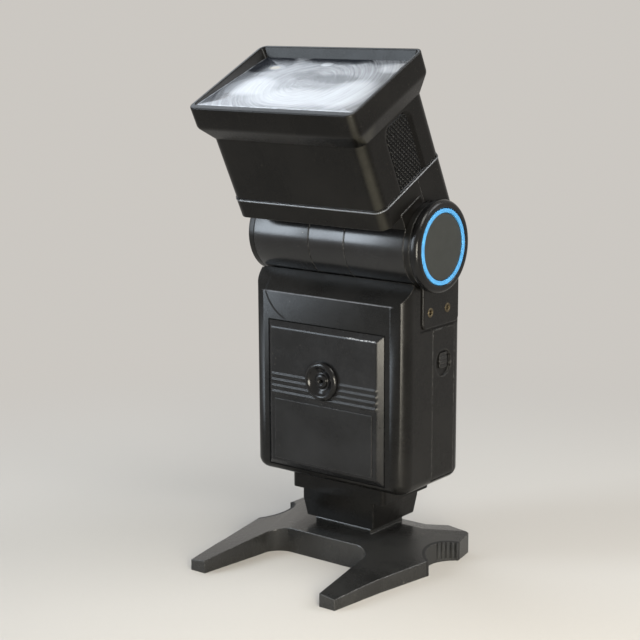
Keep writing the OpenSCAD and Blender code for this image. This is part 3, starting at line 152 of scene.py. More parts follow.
def rounded(rows, cuts, steps=4):
    """A path of rows whose inner corners are rounded: each corner gives way to a quadratic curve that leaves
    and joins the path a cut away from it."""
    rows, cuts = np.asarray(rows, float), np.asarray(cuts, float)
    middle, before, after = rows[1:-1], rows[:-2] - rows[1:-1], rows[2:] - rows[1:-1]
    reach = [np.minimum(0.48, cuts / np.maximum(np.abs(side).max(1), 1e-9))[:, None] * side
             for side in (before, after)]
    t = np.linspace(0, 1, steps + 1)[None, :, None]
    curve = middle[:, None] + (1 - t) ** 2 * reach[0][:, None] + t ** 2 * reach[1][:, None]
    return np.vstack([rows[:1], curve.reshape(-1, rows.shape[1]), rows[-1:]])


def tube(rows, corner=8, side=1):
    """Four-sided rings with round corners, one for each row. A row holds the half width in front and behind,
    the reach in front and behind, the corners' radius, and the height in front and behind: each corner is
    its centre plus the radius times (cos, sin) of the angle, and straight sides join the corners."""
    front_w, back_w, front, back, r, front_z, back_z = np.asarray(rows, float).T[:, :, None, None]
    turn = np.linspace(0, math.pi / 2, corner + 1)[None, None, :]
    first = np.array([-0.5, 0, 0.5, 1])[None, :, None] * math.pi
    right = np.array([1, 1, -1, -1])[None, :, None]
    behind = np.array([0, 1, 1, 0])[None, :, None]
    half = front_w + (back_w - front_w) * behind
    reach = back * behind - front * (1 - behind)
    u = right * (half - r) + r * np.cos(first + turn)
    v = reach + r * (1 - 2 * behind) + r * np.sin(first + turn)
    if side > 1:
        t = np.linspace(0, 1, side + 1)[1:-1]
        u, v = (np.concatenate([k, k[..., -1:] + (np.roll(k, -1, 1)[..., :1] - k[..., -1:]) * t], -1)
                for k in (u, v))
    z = front_z + (back_z - front_z) * np.clip((v + front) / (front + back), 0, 1)
    return grid(*(k.reshape(len(u), -1) for k in (u, v, z)))


def turned(profile, centre, axis, steps=96, side=1):
    """A profile of (radius, height) rows turned about an axis: centre + height along the axis + radius times
    (cos, sin) of the angle across it. Side -1 mirrors it from right to left."""
    radius, height = np.asarray(profile, float).T[..., None]
    angle = np.linspace(0, 2 * math.pi, steps, endpoint=False)[None, :]
    out = np.roll(grid(height, radius * np.cos(angle), radius * np.sin(angle)), axis, -1)
    return patch((out + centre) * [side, 1, 1], close=True)


def smoothstep(value, low, high):
    """0 below low, 1 above high and an S curve between."""
    t = np.clip((value - low) / (high - low), 0, 1)
    return t * t * (3 - 2 * t)


def slab_distance(x, y, left, right, low, high, r):
    """Distance from a rectangle with round corners, negative inside it."""
    across, along = np.maximum(left - x, x - right) + r, np.maximum(low - y, y - high) + r
    outside = np.hypot(np.maximum(across, 0), np.maximum(along, 0))
    return outside + np.minimum(np.maximum(across, along), 0) - r


def spread(low, high, margin, count, near):
    """Numbers from low to high: near of them in the margin at each end, and fewer between."""
    ends = np.linspace(0, margin, near)
    return np.concatenate([low + ends, np.linspace(low + margin, high - margin, count)[1:-1], high - ends[::-1]])


# Pieces

DOUBLES, CAD_DOUBLES = 1e-5, 4e-6
SHARP = 32
remade = set()


def tidy_mesh(mesh, merge=DOUBLES, flat=None):
    """Merges doubles, drops faces with no area, and where asked joins faces that lie in one plane."""
    work = bmesh.new()
    work.from_mesh(mesh)
    bmesh.ops.remove_doubles(work, verts=work.verts, dist=merge)
    bmesh.ops.dissolve_degenerate(work, dist=merge, edges=work.edges)
    if flat:
        bmesh.ops.dissolve_limit(work, angle_limit=math.radians(flat), verts=work.verts, edges=work.edges,
                                 delimit={"NORMAL"})
    bmesh.ops.recalc_face_normals(work, faces=work.faces)
    work.to_mesh(mesh)
    work.free()


def mesh_of(name, patches, place):
    """One mesh of several patches of quads, placed in the shared frame, with doubles merged and faces outwards."""
    mesh = bpy.data.meshes.new(name)
    firsts = np.cumsum([0] + [len(points) for points, _ in patches])
    mesh.from_pydata(np.concatenate([place(points) for points, _ in patches]), [],
                     np.concatenate([quads + first for (_, quads), first in zip(patches, firsts)]))
    mesh.validate()
    tidy_mesh(mesh)
    return mesh


def smooth(mesh, angle=SHARP):
    """Smooth shading that stops at edges sharper than an angle."""
    mesh.polygons.foreach_set("use_smooth", np.ones(len(mesh.polygons), bool))
    mesh.set_sharp_from_angle(angle=math.radians(angle))
    mesh.update()


def even_shading(thing):
    """Lets large faces set the shading of the points that they share with narrow ones, so that they stay flat."""
    weigh = thing.modifiers.new("even", "WEIGHTED_NORMAL")
    weigh.keep_sharp, weigh.mode, weigh.weight = True, "FACE_AREA", 60
    graph = bpy.context.evaluated_depsgraph_get()
    made, old = bpy.data.meshes.new_from_object(thing.evaluated_get(graph)), thing.data
    thing.modifiers.clear()
    thing.data = made
    made.name = old.name
    bpy.data.meshes.remove(old)


def put(name, data):
    """A new object in the scene."""
    thing = bpy.data.objects.new(name, data)
    bpy.context.scene.collection.objects.link(thing)
    return thing


def piece(name, mesh, nodes, slot, angle=SHARP, body="flash", finish=None, even=False):
    """Makes an object of a mesh, gives it its material and shading, and hands it to the frame, where it rides
    a body and stands for the nodes."""
    thing = put(name, mesh)
    mesh.materials.append(MATERIAL[finish or slot])
    smooth(mesh, angle)
    if even:
        even_shading(thing)
    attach(thing, body)
    if nodes:
        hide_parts(*nodes)
        remade.update(nodes)


def form(name, patches, nodes, slot, angle=SHARP, body="flash", place=in_case, finish=None):
    """A piece made of patches."""
    piece(name, mesh_of(name, patches, place), nodes, slot, angle, body, finish)


def skin(node):
    """A copy of a CAD node with its doubles merged and its round faces shaded smooth, standing for that node."""
    source = frame["nodes"][node]
    mesh = source.data.copy()
    mesh.materials.clear()
    tidy_mesh(mesh, merge=CAD_DOUBLES, flat=0.5)
    piece(node + "_skin", mesh, [node], SLOTS[node], body=source["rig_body"], finish=FINISH.get(node), even=True)


# Shader maths

class Value:
    """One output of a shader node. Operators on it add Math nodes to its graph."""

    def __init__(self, graph, socket):
        self.graph, self.socket = graph, socket

    def math(self, operation, *others):
        return self.graph.node("ShaderNodeMath", {"operation": operation}, [self, *others])

    def __rsub__(self, other): return self.graph.node("ShaderNodeMath", {"operation": "SUBTRACT"}, [other, self])
    __add__ = __radd__ = partialmethod(math, "ADD")
    __sub__ = partialmethod(math, "SUBTRACT")
    __mul__ = __rmul__ = partialmethod(math, "MULTIPLY")
    __truediv__ = partialmethod(math, "DIVIDE")
    __pow__ = partialmethod(math, "POWER")
    __abs__ = partialmethod(math, "ABSOLUTE")

    def clip(self): return self.math("MINIMUM", 1).math("MAXIMUM", 0)

    def ramp(self, low, high):
        """0 below low, 1 above high, smooth between; low may be the larger."""
        return self.graph.node("ShaderNodeMapRange", {"interpolation_type": "SMOOTHSTEP"}, [self, low, high, 0, 1])


class Graph:
    """The node tree of a new material, or of the world, with short ways to add to it."""

    def __init__(self, name, owner=None):
        self.owner = owner or bpy.data.materials.new(name)
        self.owner.use_nodes = True
        self.tree = self.owner.node_tree
        self.tree.nodes.clear()
        self.place = self.node("ShaderNodeTexCoord", output="Object")
        self.turned = {}

    def node(self, kind, settings=None, values=(), output=0, **named):
        """Adds a node, sets or links its sockets, where a tuple is a colour, and returns one output."""
        made = self.tree.nodes.new(kind)
        for key, value in (settings or {}).items():
            setattr(made, key, value)
        for key, value in [*enumerate(values), *named.items()]:
            socket = made.inputs[key if isinstance(key, int) else key.replace("_", " ")]
            if isinstance(value, Value):
                self.tree.links.new(value.socket, socket)
            elif value is not None:
                socket.default_value = (*value, 1) if isinstance(value, tuple) else value
        return Value(self, made.outputs[output]) if made.outputs else None

    def scaled(self, scale, stretch=(1, 1, 1)):
        """Object coordinates times a scale in cells per metre, drawn out along the axes."""
        return self.node("ShaderNodeMapping", values=[self.place], Scale=[scale * k for k in stretch])

    def noise(self, scale, detail=2, rough=0.5, stretch=(1, 1, 1), at=None):
        """Noise from 0 to 1, on scaled Object coordinates or on coordinates of its own."""
        return self.node("ShaderNodeTexNoise", Vector=at or self.scaled(scale, stretch), Scale=1, Detail=detail,
                         Roughness=rough)

    def cells(self, scale):
        """Distance to the nearest scattered point, in cells."""
        return self.node("ShaderNodeTexVoronoi", Vector=self.scaled(scale), Scale=1)

    def specks(self, scale, size, where, detail, share):
        """Round specks of a size, in patches: a share of the noise on the scale called where."""
        return self.cells(scale).ramp(*size) * self.noise(where, detail).ramp(*share)

    def hairs(self, scale, share, where, stretch):
        """Fine lines drawn out along the axes, in patches."""
        return self.noise(scale, 3, 0.8, stretch).ramp(*share) * self.noise(where).ramp(0.52, 0.66)

    def rounded(self, radius):
        """The surface's direction with the edges rounded by a radius in millimetres."""
        if radius not in self.turned:
            self.turned[radius] = self.node("ShaderNodeBevel", {"samples": 4}, Radius=radius * MM)
        return self.turned[radius]

    def edge(self, radius=0.45):
        """1 on an edge's line, 0 beyond a radius in millimetres from it."""
        plain = self.node("ShaderNodeNewGeometry", output="Normal")
        same = self.node("ShaderNodeVectorMath", {"operation": "DOT_PRODUCT"}, [self.rounded(radius), plain],
                         output="Value")
        return same.ramp(0.985, 0.8)

    def axes(self):
        """The three Object coordinates, in millimetres."""
        return [self.node("ShaderNodeSeparateXYZ", values=[self.place], output=k) / MM for k in range(3)]

    def head_axes(self, middle):
        """Millimetres across and behind a point of the head, in the head's frame."""
        x, y, z = (k - m for k, m in zip(self.axes(), middle))
        return x, y * DRAW[2] - z * DRAW[1]

    def mix(self, factor, a, b):
        """Colour a where the factor is 0, b where it is 1."""
        return self.node("ShaderNodeMix", {"data_type": "RGBA"}, [factor, *[None] * 5, a, b], output=2)

    def seen(self):
        """1 for rays from the camera, off gloss and through glass, 0 for the rest."""
        camera, gloss, glass = (self.node("ShaderNodeLightPath", output=f"Is {kind} Ray")
                                for kind in ("Camera", "Glossy", "Transmission"))
        return camera.math("MAXIMUM", gloss).math("MAXIMUM", glass)

    def bump(self, height, strength, depth, radius=0.45):
        """A bump of a height from 0 to 1, depth millimetres deep, over edges rounded by a radius."""
        return self.node("ShaderNodeBump", Strength=strength, Distance=depth * MM, Height=height,
                         Normal=self.rounded(radius) if radius else None)

    def shader(self, color, rough, normal=None, **settings):
        """A Principled shader."""
        return self.node("ShaderNodeBsdfPrincipled", Base_Color=color, Roughness=rough, Normal=normal, **settings)

    def surface(self, *looks, **settings):
        """Ends the material in one Principled shader."""
        self.node("ShaderNodeOutputMaterial", values=[self.shader(*looks, **settings)])
        return self.owner


def shade(color, factor, lift=0):
    """A colour times a factor, plus a lift."""
    return tuple(k * factor + lift for k in color)


# Marks of wear, and of painted highlight and painted shade. Each gives how much of its colour shows, the colour,
# what it adds to the roughness, and where the wear of the edges is left out.

def ridge_wear_and_highlight(g):
    """A pale line along the ridge of the case's front, partly wear and partly a painted highlight, and a dull
    scratch: the lower left of a circle.
    """
    x, y, z = g.axes()
    off = abs(((x - SCRATCH.x) ** 2 + (z - SCRATCH.z) ** 2) ** 0.5 - SCRATCH.radius)
    scratch = (off.ramp(*SCRATCH.wide) * (SCRATCH.end - x).ramp(0, SCRATCH.fade)
               * (SCRATCH.z - z).ramp(0, 1) * y.ramp(IN_FRONT + 1, IN_FRONT))
    # Pale ridge line: partly wear, partly a painted highlight.
    ridge = abs(z - RIDGE.z).ramp(*RIDGE.wide) * abs(x).ramp(*RIDGE.half) * y.ramp(IN_FRONT, IN_FRONT - 1)
    ridge = ridge * (g.noise(300, 3, 0.7).ramp(0.25, 0.6) * 0.7 + 0.3)
    return ridge * 0.55, (0.15, 0.155, 0.17), scratch * 0.4, 0


def nicked_edge(g):
    """Pale nicks along the right part of the front panel's upper edge."""
    x, y, z = g.axes()
    line = abs(z - NICKS.z + (g.noise(240) - 0.5) * 0.6).ramp(*NICKS.wide) * y.ramp(IN_FRONT + 1, IN_FRONT)
    chipped = line * x.ramp(*NICKS.start) * x.ramp(*NICKS.end) * g.noise(900, 3, 0.7).ramp(0.47, 0.56)
    return chipped * 0.7, (0.42, 0.43, 0.45), 0, 0


def painted_corner_sheen(half, corner, g):
    """A painted olive highlight on the right front corner of a frame with a half width and a corner radius."""
    across, behind = g.head_axes(HINGE)
    band = across.ramp(half - corner * 0.95, half - corner * 0.5) * across.ramp(half - 0.02, half - corner * 0.3)
    band = (band * behind.ramp(-9, -15) * (g.noise(90, 3, 0.7).ramp(0.15, 0.65) * 0.55 + 0.45)
            * (g.noise(900) * 0.4 + 0.8))
    return band.clip(), (0.021, 0.0202, 0.0165), 0, 0


def painted_slot_shade(g):
    """Painted shade in the slots, and dull teeth, round the notches in the stand's sides."""
    x, y, _ = g.axes()
    out = ((abs(x) - NOTCH.x) ** 2 + (y - NOTCH.y) ** 2) ** 0.5 - NOTCH.radius
    near = abs(out).ramp(*NOTCH.near)
    return near * out.ramp(*NOTCH.slot) * 0.85, (0.001, 0.001, 0.001), near * 0.5, near


# Materials. Each function ends the graph that it is given.

DUST = (0.27, 0.25, 0.22)


def moulded_black(g, color, rough, grain=0.35, dust=0.5, scuff=0.7, gloss=0.25, spark=4200, radius=0.45,
                  mark=None):
    """Moulded black plastic: fine spark grain, faint clouds of wear, paler worn edges, specks of dust and a few
    hairlines, with a mark where asked."""
    cloud, fine, pits = g.noise(48, 4, 0.6), g.noise(spark, 3, 0.7), g.noise(spark * 0.36, 2, 0.6)
    specks = g.specks(430, (0.085, 0.05), 75, 2, (0.55, 0.7)) * dust
    motes = g.specks(1300, (0.11, 0.06), 110, 3, (0.54, 0.66)) * dust
    upright = g.hairs(230, (0.705, 0.74), 35, (1, 1, 0.04))
    level = g.hairs(210, (0.715, 0.745), 31, (0.05, 0.05, 1))
    worn = (g.edge(min(radius, 0.45)) * (g.noise(620, 4, 0.75).ramp(0.4, 0.62) * 0.85 + 0.15)).clip() * scuff
    if mark:
        shown, tint, dull, spared = mark(g)
        worn = worn * (1 - spared)
    base = g.mix(cloud.ramp(0.3, 0.75), shade(color, 0.78), shade(color, 1.45))
    base = g.mix((worn + (upright + level) * 0.16).clip(), base, shade(color, 3, 0.085))
    roughness = rough + (cloud - 0.5) * 0.26 + (fine - 0.5) * 0.16 - worn * 0.12
    if mark:
        base = g.mix(shown, base, tint)
        roughness = roughness + dull
    base = g.mix((specks + motes * 0.6).clip() * 0.8, base, DUST)
    height = fine * 0.7 + pits * 0.3 - upright * 0.2
    return g.surface(base, roughness.clip(), g.bump(height, grain, 0.03, radius), Specular_IOR_Level=gloss)


def polished_black(g, color=(0.0045, 0.0045, 0.0048), rough=0.14):
    """Polished black plastic with hairlines and a little dust."""
    cloud = g.noise(90, 3)
    hair = g.noise(700, 3, 0.8, stretch=(1, 0.06, 1)).ramp(0.66, 0.74)
    worn = g.edge() * g.noise(1100, 4, 0.7).ramp(0.45, 0.65)
    base = g.mix(worn * 0.5, color, (0.07, 0.07, 0.07))
    base = g.mix(g.specks(500, (0.07, 0.04), 90, 2, (0.55, 0.7)) * 0.6, base, (0.26, 0.25, 0.23))
    return g.surface(base, (rough + cloud * 0.12 + hair * 0.12).clip(), g.bump(g.noise(2500), 0.06, 0.02),
                     Specular_IOR_Level=0.27)


def satin_metal(g, color, rough=0.32, along=(1, 1, 1)):
    """Plated or drawn metal with fine lines, dull patches and darker spots."""
    lines, dull = g.noise(3000, 3, 0.7, along), g.noise(180, 4, 0.6)
    base = g.mix(dull.ramp(0.35, 0.75) * 0.55, color, shade(color, 0.62))
    return g.surface(base, (rough + (lines - 0.5) * 0.2 + dull * 0.12).clip(), g.bump(lines, 0.1, 0.02),
                     Metallic=1)


def enamel(g, color, rough=0.3):
    """Coloured enamel or paint, a little uneven, with dust in it."""
    uneven = g.noise(240, 4, 0.6)
    base = g.mix(uneven.ramp(0.3, 0.8), color, shade(color, 0.8))
    base = g.mix(g.specks(600, (0.08, 0.05), 120, 2, (0.5, 0.7)), base, shade(color, 0.45))
    return g.surface(base, (rough + uneven * 0.15).clip(), g.bump(g.noise(2600), 0.08, 0.02))


def plain_resin(g, color, rough=0.5):
    """Moulded resin, board or sleeve inside the case, with mottling."""
    mottle = g.noise(150, 4, 0.6)
    base = g.mix(mottle.ramp(0.3, 0.8), color, shade(color, 0.7))
    return g.surface(base, (rough + (mottle - 0.5) * 0.2).clip(), g.bump(g.noise(1200), 0.12, 0.03))


# Patches of painted light, painted shade and a painted glint in the lens, and of grit: across, behind, half width,
# half depth and strength

PAINTED_LIGHT = ((3, -11, 24, 9, 1), (-21, -4, 13, 9, 1), (24, -7, 13, 13, 1), (29, 14, 8, 5, 0.8),
          (-21, 12, 4.5, 2.6, 1), (-1, 15.5, 3.2, 2.2, 1))
PAINTED_SHADE = ((2, 19.5, 18, 5, 1), (-28, 15, 14, 9, 1.7), (-4, 6, 9, 4, 0.4), (10, 4, 12, 4.5, 0.7))
PAINTED_GLINT, GRITTY = ((-22, 11.5, 3, 1.8, 0.35),), ((27, 13, 12, 7, 1),)


def lens_plastic(g):
    """Clear plastic with rings of fine grooves round its middle. Its colour holds painted light and shade: what
    shines through it, drawn out into streaks along the rings, brighter and darker painted patches, a painted golden
    glint and paler painted edges on the left and in front; besides these, haze and dust."""
    k = LENS
    middle = in_head([0, (k.back - k.front) / 2, (k.front_s + k.back_s) / 2]) / MM
    across, behind = g.head_axes(middle)
    radius = (across * across + behind * behind) ** 0.5
    angle = behind.math("ARCTAN2", across)

    def streaks(rings, turns, height, detail, rough):
        """Noise on radius and angle."""
        at = g.node("ShaderNodeCombineXYZ", values=[radius * rings, angle * turns, height])
        return g.noise(1, detail, rough, at=at)

    def patches(places):
        """The sum of soft ovals, each 1 in its middle and 0 outside, times their strengths."""
        return sum((((across - u) / wide) ** 2 + ((behind - v) / deep) ** 2).ramp(1, 0.15) * strength
                   for u, v, wide, deep, strength in places)

    streak, fine = streaks(1.1, 1.3, 0, 4, 0.62), streaks(4.5, 2.2, 3, 3, 0.6)
    groove = (radius * (2 * math.pi / 0.8)).math("SINE") * 0.5 + 0.5
    cloud = g.noise(42, 4, 0.62, stretch=(0.7, 1.2, 1.2))
    # Painted light and shade: the pane's colour is made brighter and darker by patches, streaks and clouds,
    # standing in for what shines through it and what it reflects.
    level = (0.36 + patches(PAINTED_LIGHT).clip() * 0.52 - patches(PAINTED_SHADE).clip() * 0.5 + (streak - 0.5)
             + (fine - 0.5) * 0.35 + (cloud - 0.5) * 0.5)
    taper = behind * ((k.back_half - k.front_half) / (k.front + k.back))
    # Painted highlight: paler along the left and front edges of the pane.
    left = (across + taper + (k.front_half + k.back_half) / 2).ramp(1.5, 0.7)
    nearest = (behind + (k.front + k.back) / 2).ramp(1.3, 0.5)
    level = level + (left * 0.7 + nearest * 0.45) * g.noise(260).ramp(0.3, 0.6)
    dust = g.specks(420, (0.075, 0.04), 60, 2, (0.48, 0.66))
    grit = g.cells(1500).ramp(0.13, 0.06) * patches(GRITTY)
    # The painted light and shade go into the base colour here.
    base = g.mix(level.clip(), (0.02, 0.024, 0.034), (0.74, 0.775, 0.83))
    # A painted golden glint.
    base = g.mix(patches(PAINTED_GLINT), base, (1, 0.86, 0.55))
    base = g.mix((dust * 0.6 + grit * 0.5).clip(), base, (0.45, 0.44, 0.42))
    return g.surface(base, 0.1 + cloud * 0.16, g.bump(groove * 0.4 + fine * 0.6, 0.35, 0.1, 0), IOR=1.49,
                     Transmission_Weight=0.42)


def mirror_metal(g):
    """Bright anodised reflector with drawn lines."""
    lines = g.noise(900, 3, 0.6, stretch=(0.04, 1, 1))
    base = g.mix(lines, (0.66, 0.68, 0.71), (0.5, 0.51, 0.54))
    return g.surface(base, 0.26 + lines * 0.18, g.bump(lines, 0.25, 0.05), Metallic=1)


def tube_glass(g):
    """Clear glass of the flash tube, with a faint grey end."""
    ends = (abs(g.axes()[0]) / 26).ramp(0.75, 1)
    base = g.mix(ends * 0.7, (0.95, 0.97, 1), (0.3, 0.28, 0.27))
    return g.surface(base, 0.03 + ends * 0.2, IOR=1.47, Transmission_Weight=0.9)


def tinted_cap(g, color):
    """A small lamp's or button's tinted cap."""
    haze = g.noise(900)
    return g.surface(g.mix(haze, color, shade(color, 0.7)), 0.15 + haze * 0.1, Coat_Weight=0.4)


def wrapped_cell(g):
    """Printed foil round the battery cells, with a dark band. Their ends, found by the surface's direction,
    are bare steel inside a ring of dark card; each cell's axis is a pitch above the last."""
    k = CELL
    x, y, z = g.axes()
    facing = g.node("ShaderNodeSeparateXYZ", values=[g.node("ShaderNodeTexCoord", output="Normal")])
    end = abs(facing).ramp(0.7, 0.9)
    up = (z - k.z).math("WRAP", k.pitch / 2, -k.pitch / 2)
    along = y - k.y
    radius = (up * up + along * along) ** 0.5
    card = radius.ramp(*k.card[:2]) * radius.ramp(*k.card[2:]) * end
    band = (x - k.band[0]).ramp(0, k.fade) * (1 - (x - k.band[1]).ramp(0, k.fade))
    streak, stain = g.noise(500, 3, 0.6, stretch=(0.1, 1, 1)), g.noise(700, 4, 0.7)
    base = g.mix(streak, (0.5, 0.33, 0.11), (0.38, 0.24, 0.08))
    base = g.mix(band, base, (0.02, 0.02, 0.022))
    base = g.mix(end, base, g.mix(stain.ramp(0.4, 0.7), (0.6, 0.6, 0.59), (0.4, 0.39, 0.37)))
    base = g.mix(card, base, (0.035, 0.03, 0.03))
    return g.surface(base, 0.28 + streak * 0.1 + card * 0.4, g.bump(stain, 0.08, 0.02),
                     Metallic=(end * 0.6 + 0.35) * (1 - card))


HEAD_TONE = (0.0038, 0.0035, 0.0031)
FINISHES = {
    # The case's mark: a pale ridge line, partly wear and partly a painted highlight.
    "case_plastic": (moulded_black, (0.005, 0.0048, 0.0045), 0.29, dict(gloss=0.2, scuff=1.1, mark=ridge_wear_and_highlight)),
    "panel_plastic": (moulded_black, (0.008, 0.0081, 0.0086), 0.26, dict(scuff=1.2, mark=nicked_edge)),
    "gloss_black": (polished_black, {}),
    "barrel_plastic": (moulded_black, (0.0038, 0.0039, 0.0042), 0.23, dict(grain=0.1, dust=0.7, gloss=0.5)),
    "name_plate": (moulded_black, (0.0085, 0.0086, 0.009), 0.3, dict(grain=0.1)),
    "grip_rubber": (moulded_black, (0.001, 0.001, 0.001), 0.17, dict(grain=0.05, gloss=0.12)),
    "ring_blue": (enamel, (0.065, 0.3, 0.62), {}),
    "disc_grey": (enamel, (0.0175, 0.0195, 0.0172), 0.4, {}),
    "shoe_metal": (satin_metal, (0.52, 0.52, 0.53), dict(along=(1, 0.05, 1))),
    "steel": (satin_metal, (0.6, 0.6, 0.62), {}),
    "contact_metal": (satin_metal, (0.7, 0.69, 0.68), 0.25, {}),
    "gold_contacts": (satin_metal, (0.13, 0.105, 0.065), 0.4, {}),
    "photocell": (polished_black, (0.12, 0.055, 0.03), 0.1, {}),
    "lens_plastic": (lens_plastic, {}),
    "mirror_metal": (mirror_metal, {}),
    "tube_glass": (tube_glass, {}),
    "cell_wrap": (wrapped_cell, {}),
    "tray_plastic": (plain_resin, (0.045, 0.045, 0.048), {}),
    "capacitor_sleeve": (plain_resin, (0.03, 0.05, 0.09), 0.25, {}),
    "circuit_board": (plain_resin, (0.11, 0.14, 0.03), 0.4, {}),
    "transformer_tape": (plain_resin, (0.34, 0.27, 0.08), 0.35, {}),
    "coil_copper": (satin_metal, (0.45, 0.2, 0.08), 0.35, dict(along=(1, 0.1, 0.1))),
    "switch_white": (plain_resin, (0.55, 0.53, 0.47), 0.4, {}),
    "button_red": (tinted_cap, (0.45, 0.045, 0.03), {}),
    "lamp_amber": (tinted_cap, (0.78, 0.28, 0.05), {}),
    # The stand's mark: painted shade in the slots by its notches.
    "stand_satin": (moulded_black, (0.0135, 0.0135, 0.0132), 0.27,
                    dict(grain=0.25, dust=1, scuff=1, gloss=0.5, radius=0.6, mark=painted_slot_shade)),
    # The head's and the rim's marks: a painted olive highlight on the right front corner.
    "head_black": (moulded_black, HEAD_TONE, 0.29,
                   dict(gloss=0.15, scuff=0.9, mark=partial(painted_corner_sheen, 33.7, 4))),
    "rim_black": (moulded_black, HEAD_TONE, 0.28,
                  dict(gloss=0.15, scuff=1, mark=partial(painted_corner_sheen, 36.25, 3))),
    "foot_black": (moulded_black, (0.0038, 0.0036, 0.0033), 0.29, dict(gloss=0.15)),
    "thumb_black": (moulded_black, (0.0045, 0.0043, 0.004), 0.26, dict(grain=1, spark=1700, gloss=0.3)),
    # The lip's pale colour is partly wear and partly a painted highlight.
    "worn_lip": (moulded_black, (0.075, 0.08, 0.09), 0.2, dict(gloss=0.6, grain=0.05)),
    "shadow_gap": (moulded_black, (0.0012, 0.0012, 0.0012), 0.8, dict(gloss=0.05, dust=0.2)),
}
MATERIAL = {name: make(Graph(name), *values, **settings) for name, (make, *values, settings) in FINISHES.items()}
for node_name, part in frame["nodes"].items():
    part.data.materials.clear()
    part.data.materials.append(MATERIAL[SLOTS[node_name]])


# Head: bezel, lens, sleeve, grips, box and drums, in the leaning head's frame

def ring(size, grow, corner, height):
    """A row for a ring with parallel sides at one height, grown outwards from a piece's size."""
    half = size.half + grow
    return [half, half, size.front + grow, size.back + grow, corner, height, height]


def bezel():
    """The flared frame round the lens: rings that go up the flare and the band, over the rim and down the
    funnel, whose sides and floor fall away to the rear."""
    b, w, k = BEZEL, SLEEVE, LENS
    flare = Sizes(half=w.half, front=w.front + 0.05, back=w.back)
    mouth = Sizes(half=b.half - b.rim, front=b.front - b.rim_front, back=b.back - b.rim)

    def seat(grow, corner, drop):
        return [k.front_half + grow, k.back_half + grow, k.front + grow, k.back + grow, corner,
                k.front_s - drop, k.back_s - drop]

    rows = [ring(w, -0.6, w.corner, b.low + 0.8), ring(w, b.gap, w.corner, b.low + 0.25),
            ring(flare, 0.25, w.corner, b.low), ring(b, 0, b.corner, b.band),
            ring(b, 0, b.corner, b.high), ring(mouth, 0, b.rim_corner, b.high),
            seat(b.gap, 0.9, 0.1), seat(-0.9, 0.8, 2.1)]
    path = rounded(rows, [0.2, 0.2, 0.9, 0.55, 0.4, 0.2], 5)
    form("bezel_frame", [patch(tube(path, 10), close=True)], ["bezel"], "case_plastic", 50, "zoom", in_head,
         "rim_black")


def lens():
    """The clear pane: rings that grow from the middle of its underside to the rim and shrink back over its
    upper side, all in two planes that fall away to the rear."""
    k = LENS
    slope = (k.back_s - k.front_s) / (k.front + k.back)
    taper = (k.back_half - k.front_half) / (k.front + k.back)
    mid_s, mid_half = k.front_s + slope * k.front, k.front_half + taper * k.front
    rows = []
    for scale, lower in ((0.001, k.thick), (0.6, k.thick), (0.985, k.thick), (0.99, 0.15), (0.984, 0),
                         (0.6, 0), (0.001, 0)):
        front, back = k.front * scale, k.back * scale
        rows.append([mid_half * scale - taper * front, mid_half * scale + taper * back, front, back,
                     max(k.corner * scale, 1e-4), mid_s - slope * front - lower, mid_s + slope * back - lower])
    form("lens_pane", [patch(tube(rows, 4, 12), close=True)], ["fresnel_lens"], "lens_plastic", 40, "zoom", in_head)


def sleeve():
    """The sliding sleeve: rings up its inner wall, round its lower edge and up its outer wall, whose sides are
    pressed in by the grip recess's depth where a point lies inside its outline, which is open below."""
    w = SLEEVE
    low, foot, inner, outer = w.low, w.low + 0.6, (-w.wall, w.inner_corner), (0, w.corner)
    edge = rounded([ring(w, *side, s) for side, s in ((inner, foot), (inner, low), (outer, low), (outer, foot))],
                   [0.2, 0.35])
    heights = [*np.linspace(low + 0.7, GRIP.top + 0.6, 66), w.high]
    top = [ring(w, *inner, w.high)]
    rows = np.vstack([top, edge, [ring(w, *outer, s) for s in heights], top])
    points = tube(rows, 8, 44)
    u, v, s = np.moveaxis(points, -1, 0)
    outline = slab_distance(v, s, GRIP.v - GRIP.half, GRIP.v + GRIP.half, -GRIP.below, GRIP.top, GRIP.corner)
    pressed = smoothstep(-outline, 0, 0.75) * (np.abs(u) > w.half - 0.6)
    points[..., 0] -= np.sign(u) * pressed * GRIP.deep
    form("sleeve_shell", [patch(points, close=True)], ["zoom_sleeve"], "case_plastic", 50, "zoom", in_head,
         "head_black")


def grips():
    """Two rubber pads in the recesses: flat, with staggered round pimples, height = 1 - (distance/radius)^2,
    and an upper end that follows the recess."""
    k, inset = PIMPLE, 0.75
    low, high, corner = SLEEVE.low + 0.2, GRIP.top - inset, GRIP.corner - inset
    s = np.linspace(low, high, 230)[:, None]
    rise = np.clip(s - (high - corner), 0, corner)
    half = GRIP.half - inset - corner + np.sqrt(corner ** 2 - rise ** 2)
    v = GRIP.v + half * np.linspace(-1, 1, 150)[None, :]
    s = s + 0 * v
    row = np.round((s - low) / k.row)
    shift = (row % 2) * k.pitch / 2
    far = np.hypot(v - np.round((v - shift) / k.pitch) * k.pitch - shift, s - low - row * k.row)
    inside = np.minimum(half - np.abs(v - GRIP.v), high - s)
    dome = np.clip(1 - (far / k.radius) ** 2, 0, 1) * k.proud * (inside > k.margin)
    out = SLEEVE.half - GRIP.deep - 0.05 + smoothstep(inside, -0.01, k.margin) * 0.35 + dome
    form("grip_pimples", [patch(grid(side * out, v, s)) for side in (-1, 1)], ["grip_pads"], "grip_rubber", 70,
         "zoom", in_head)


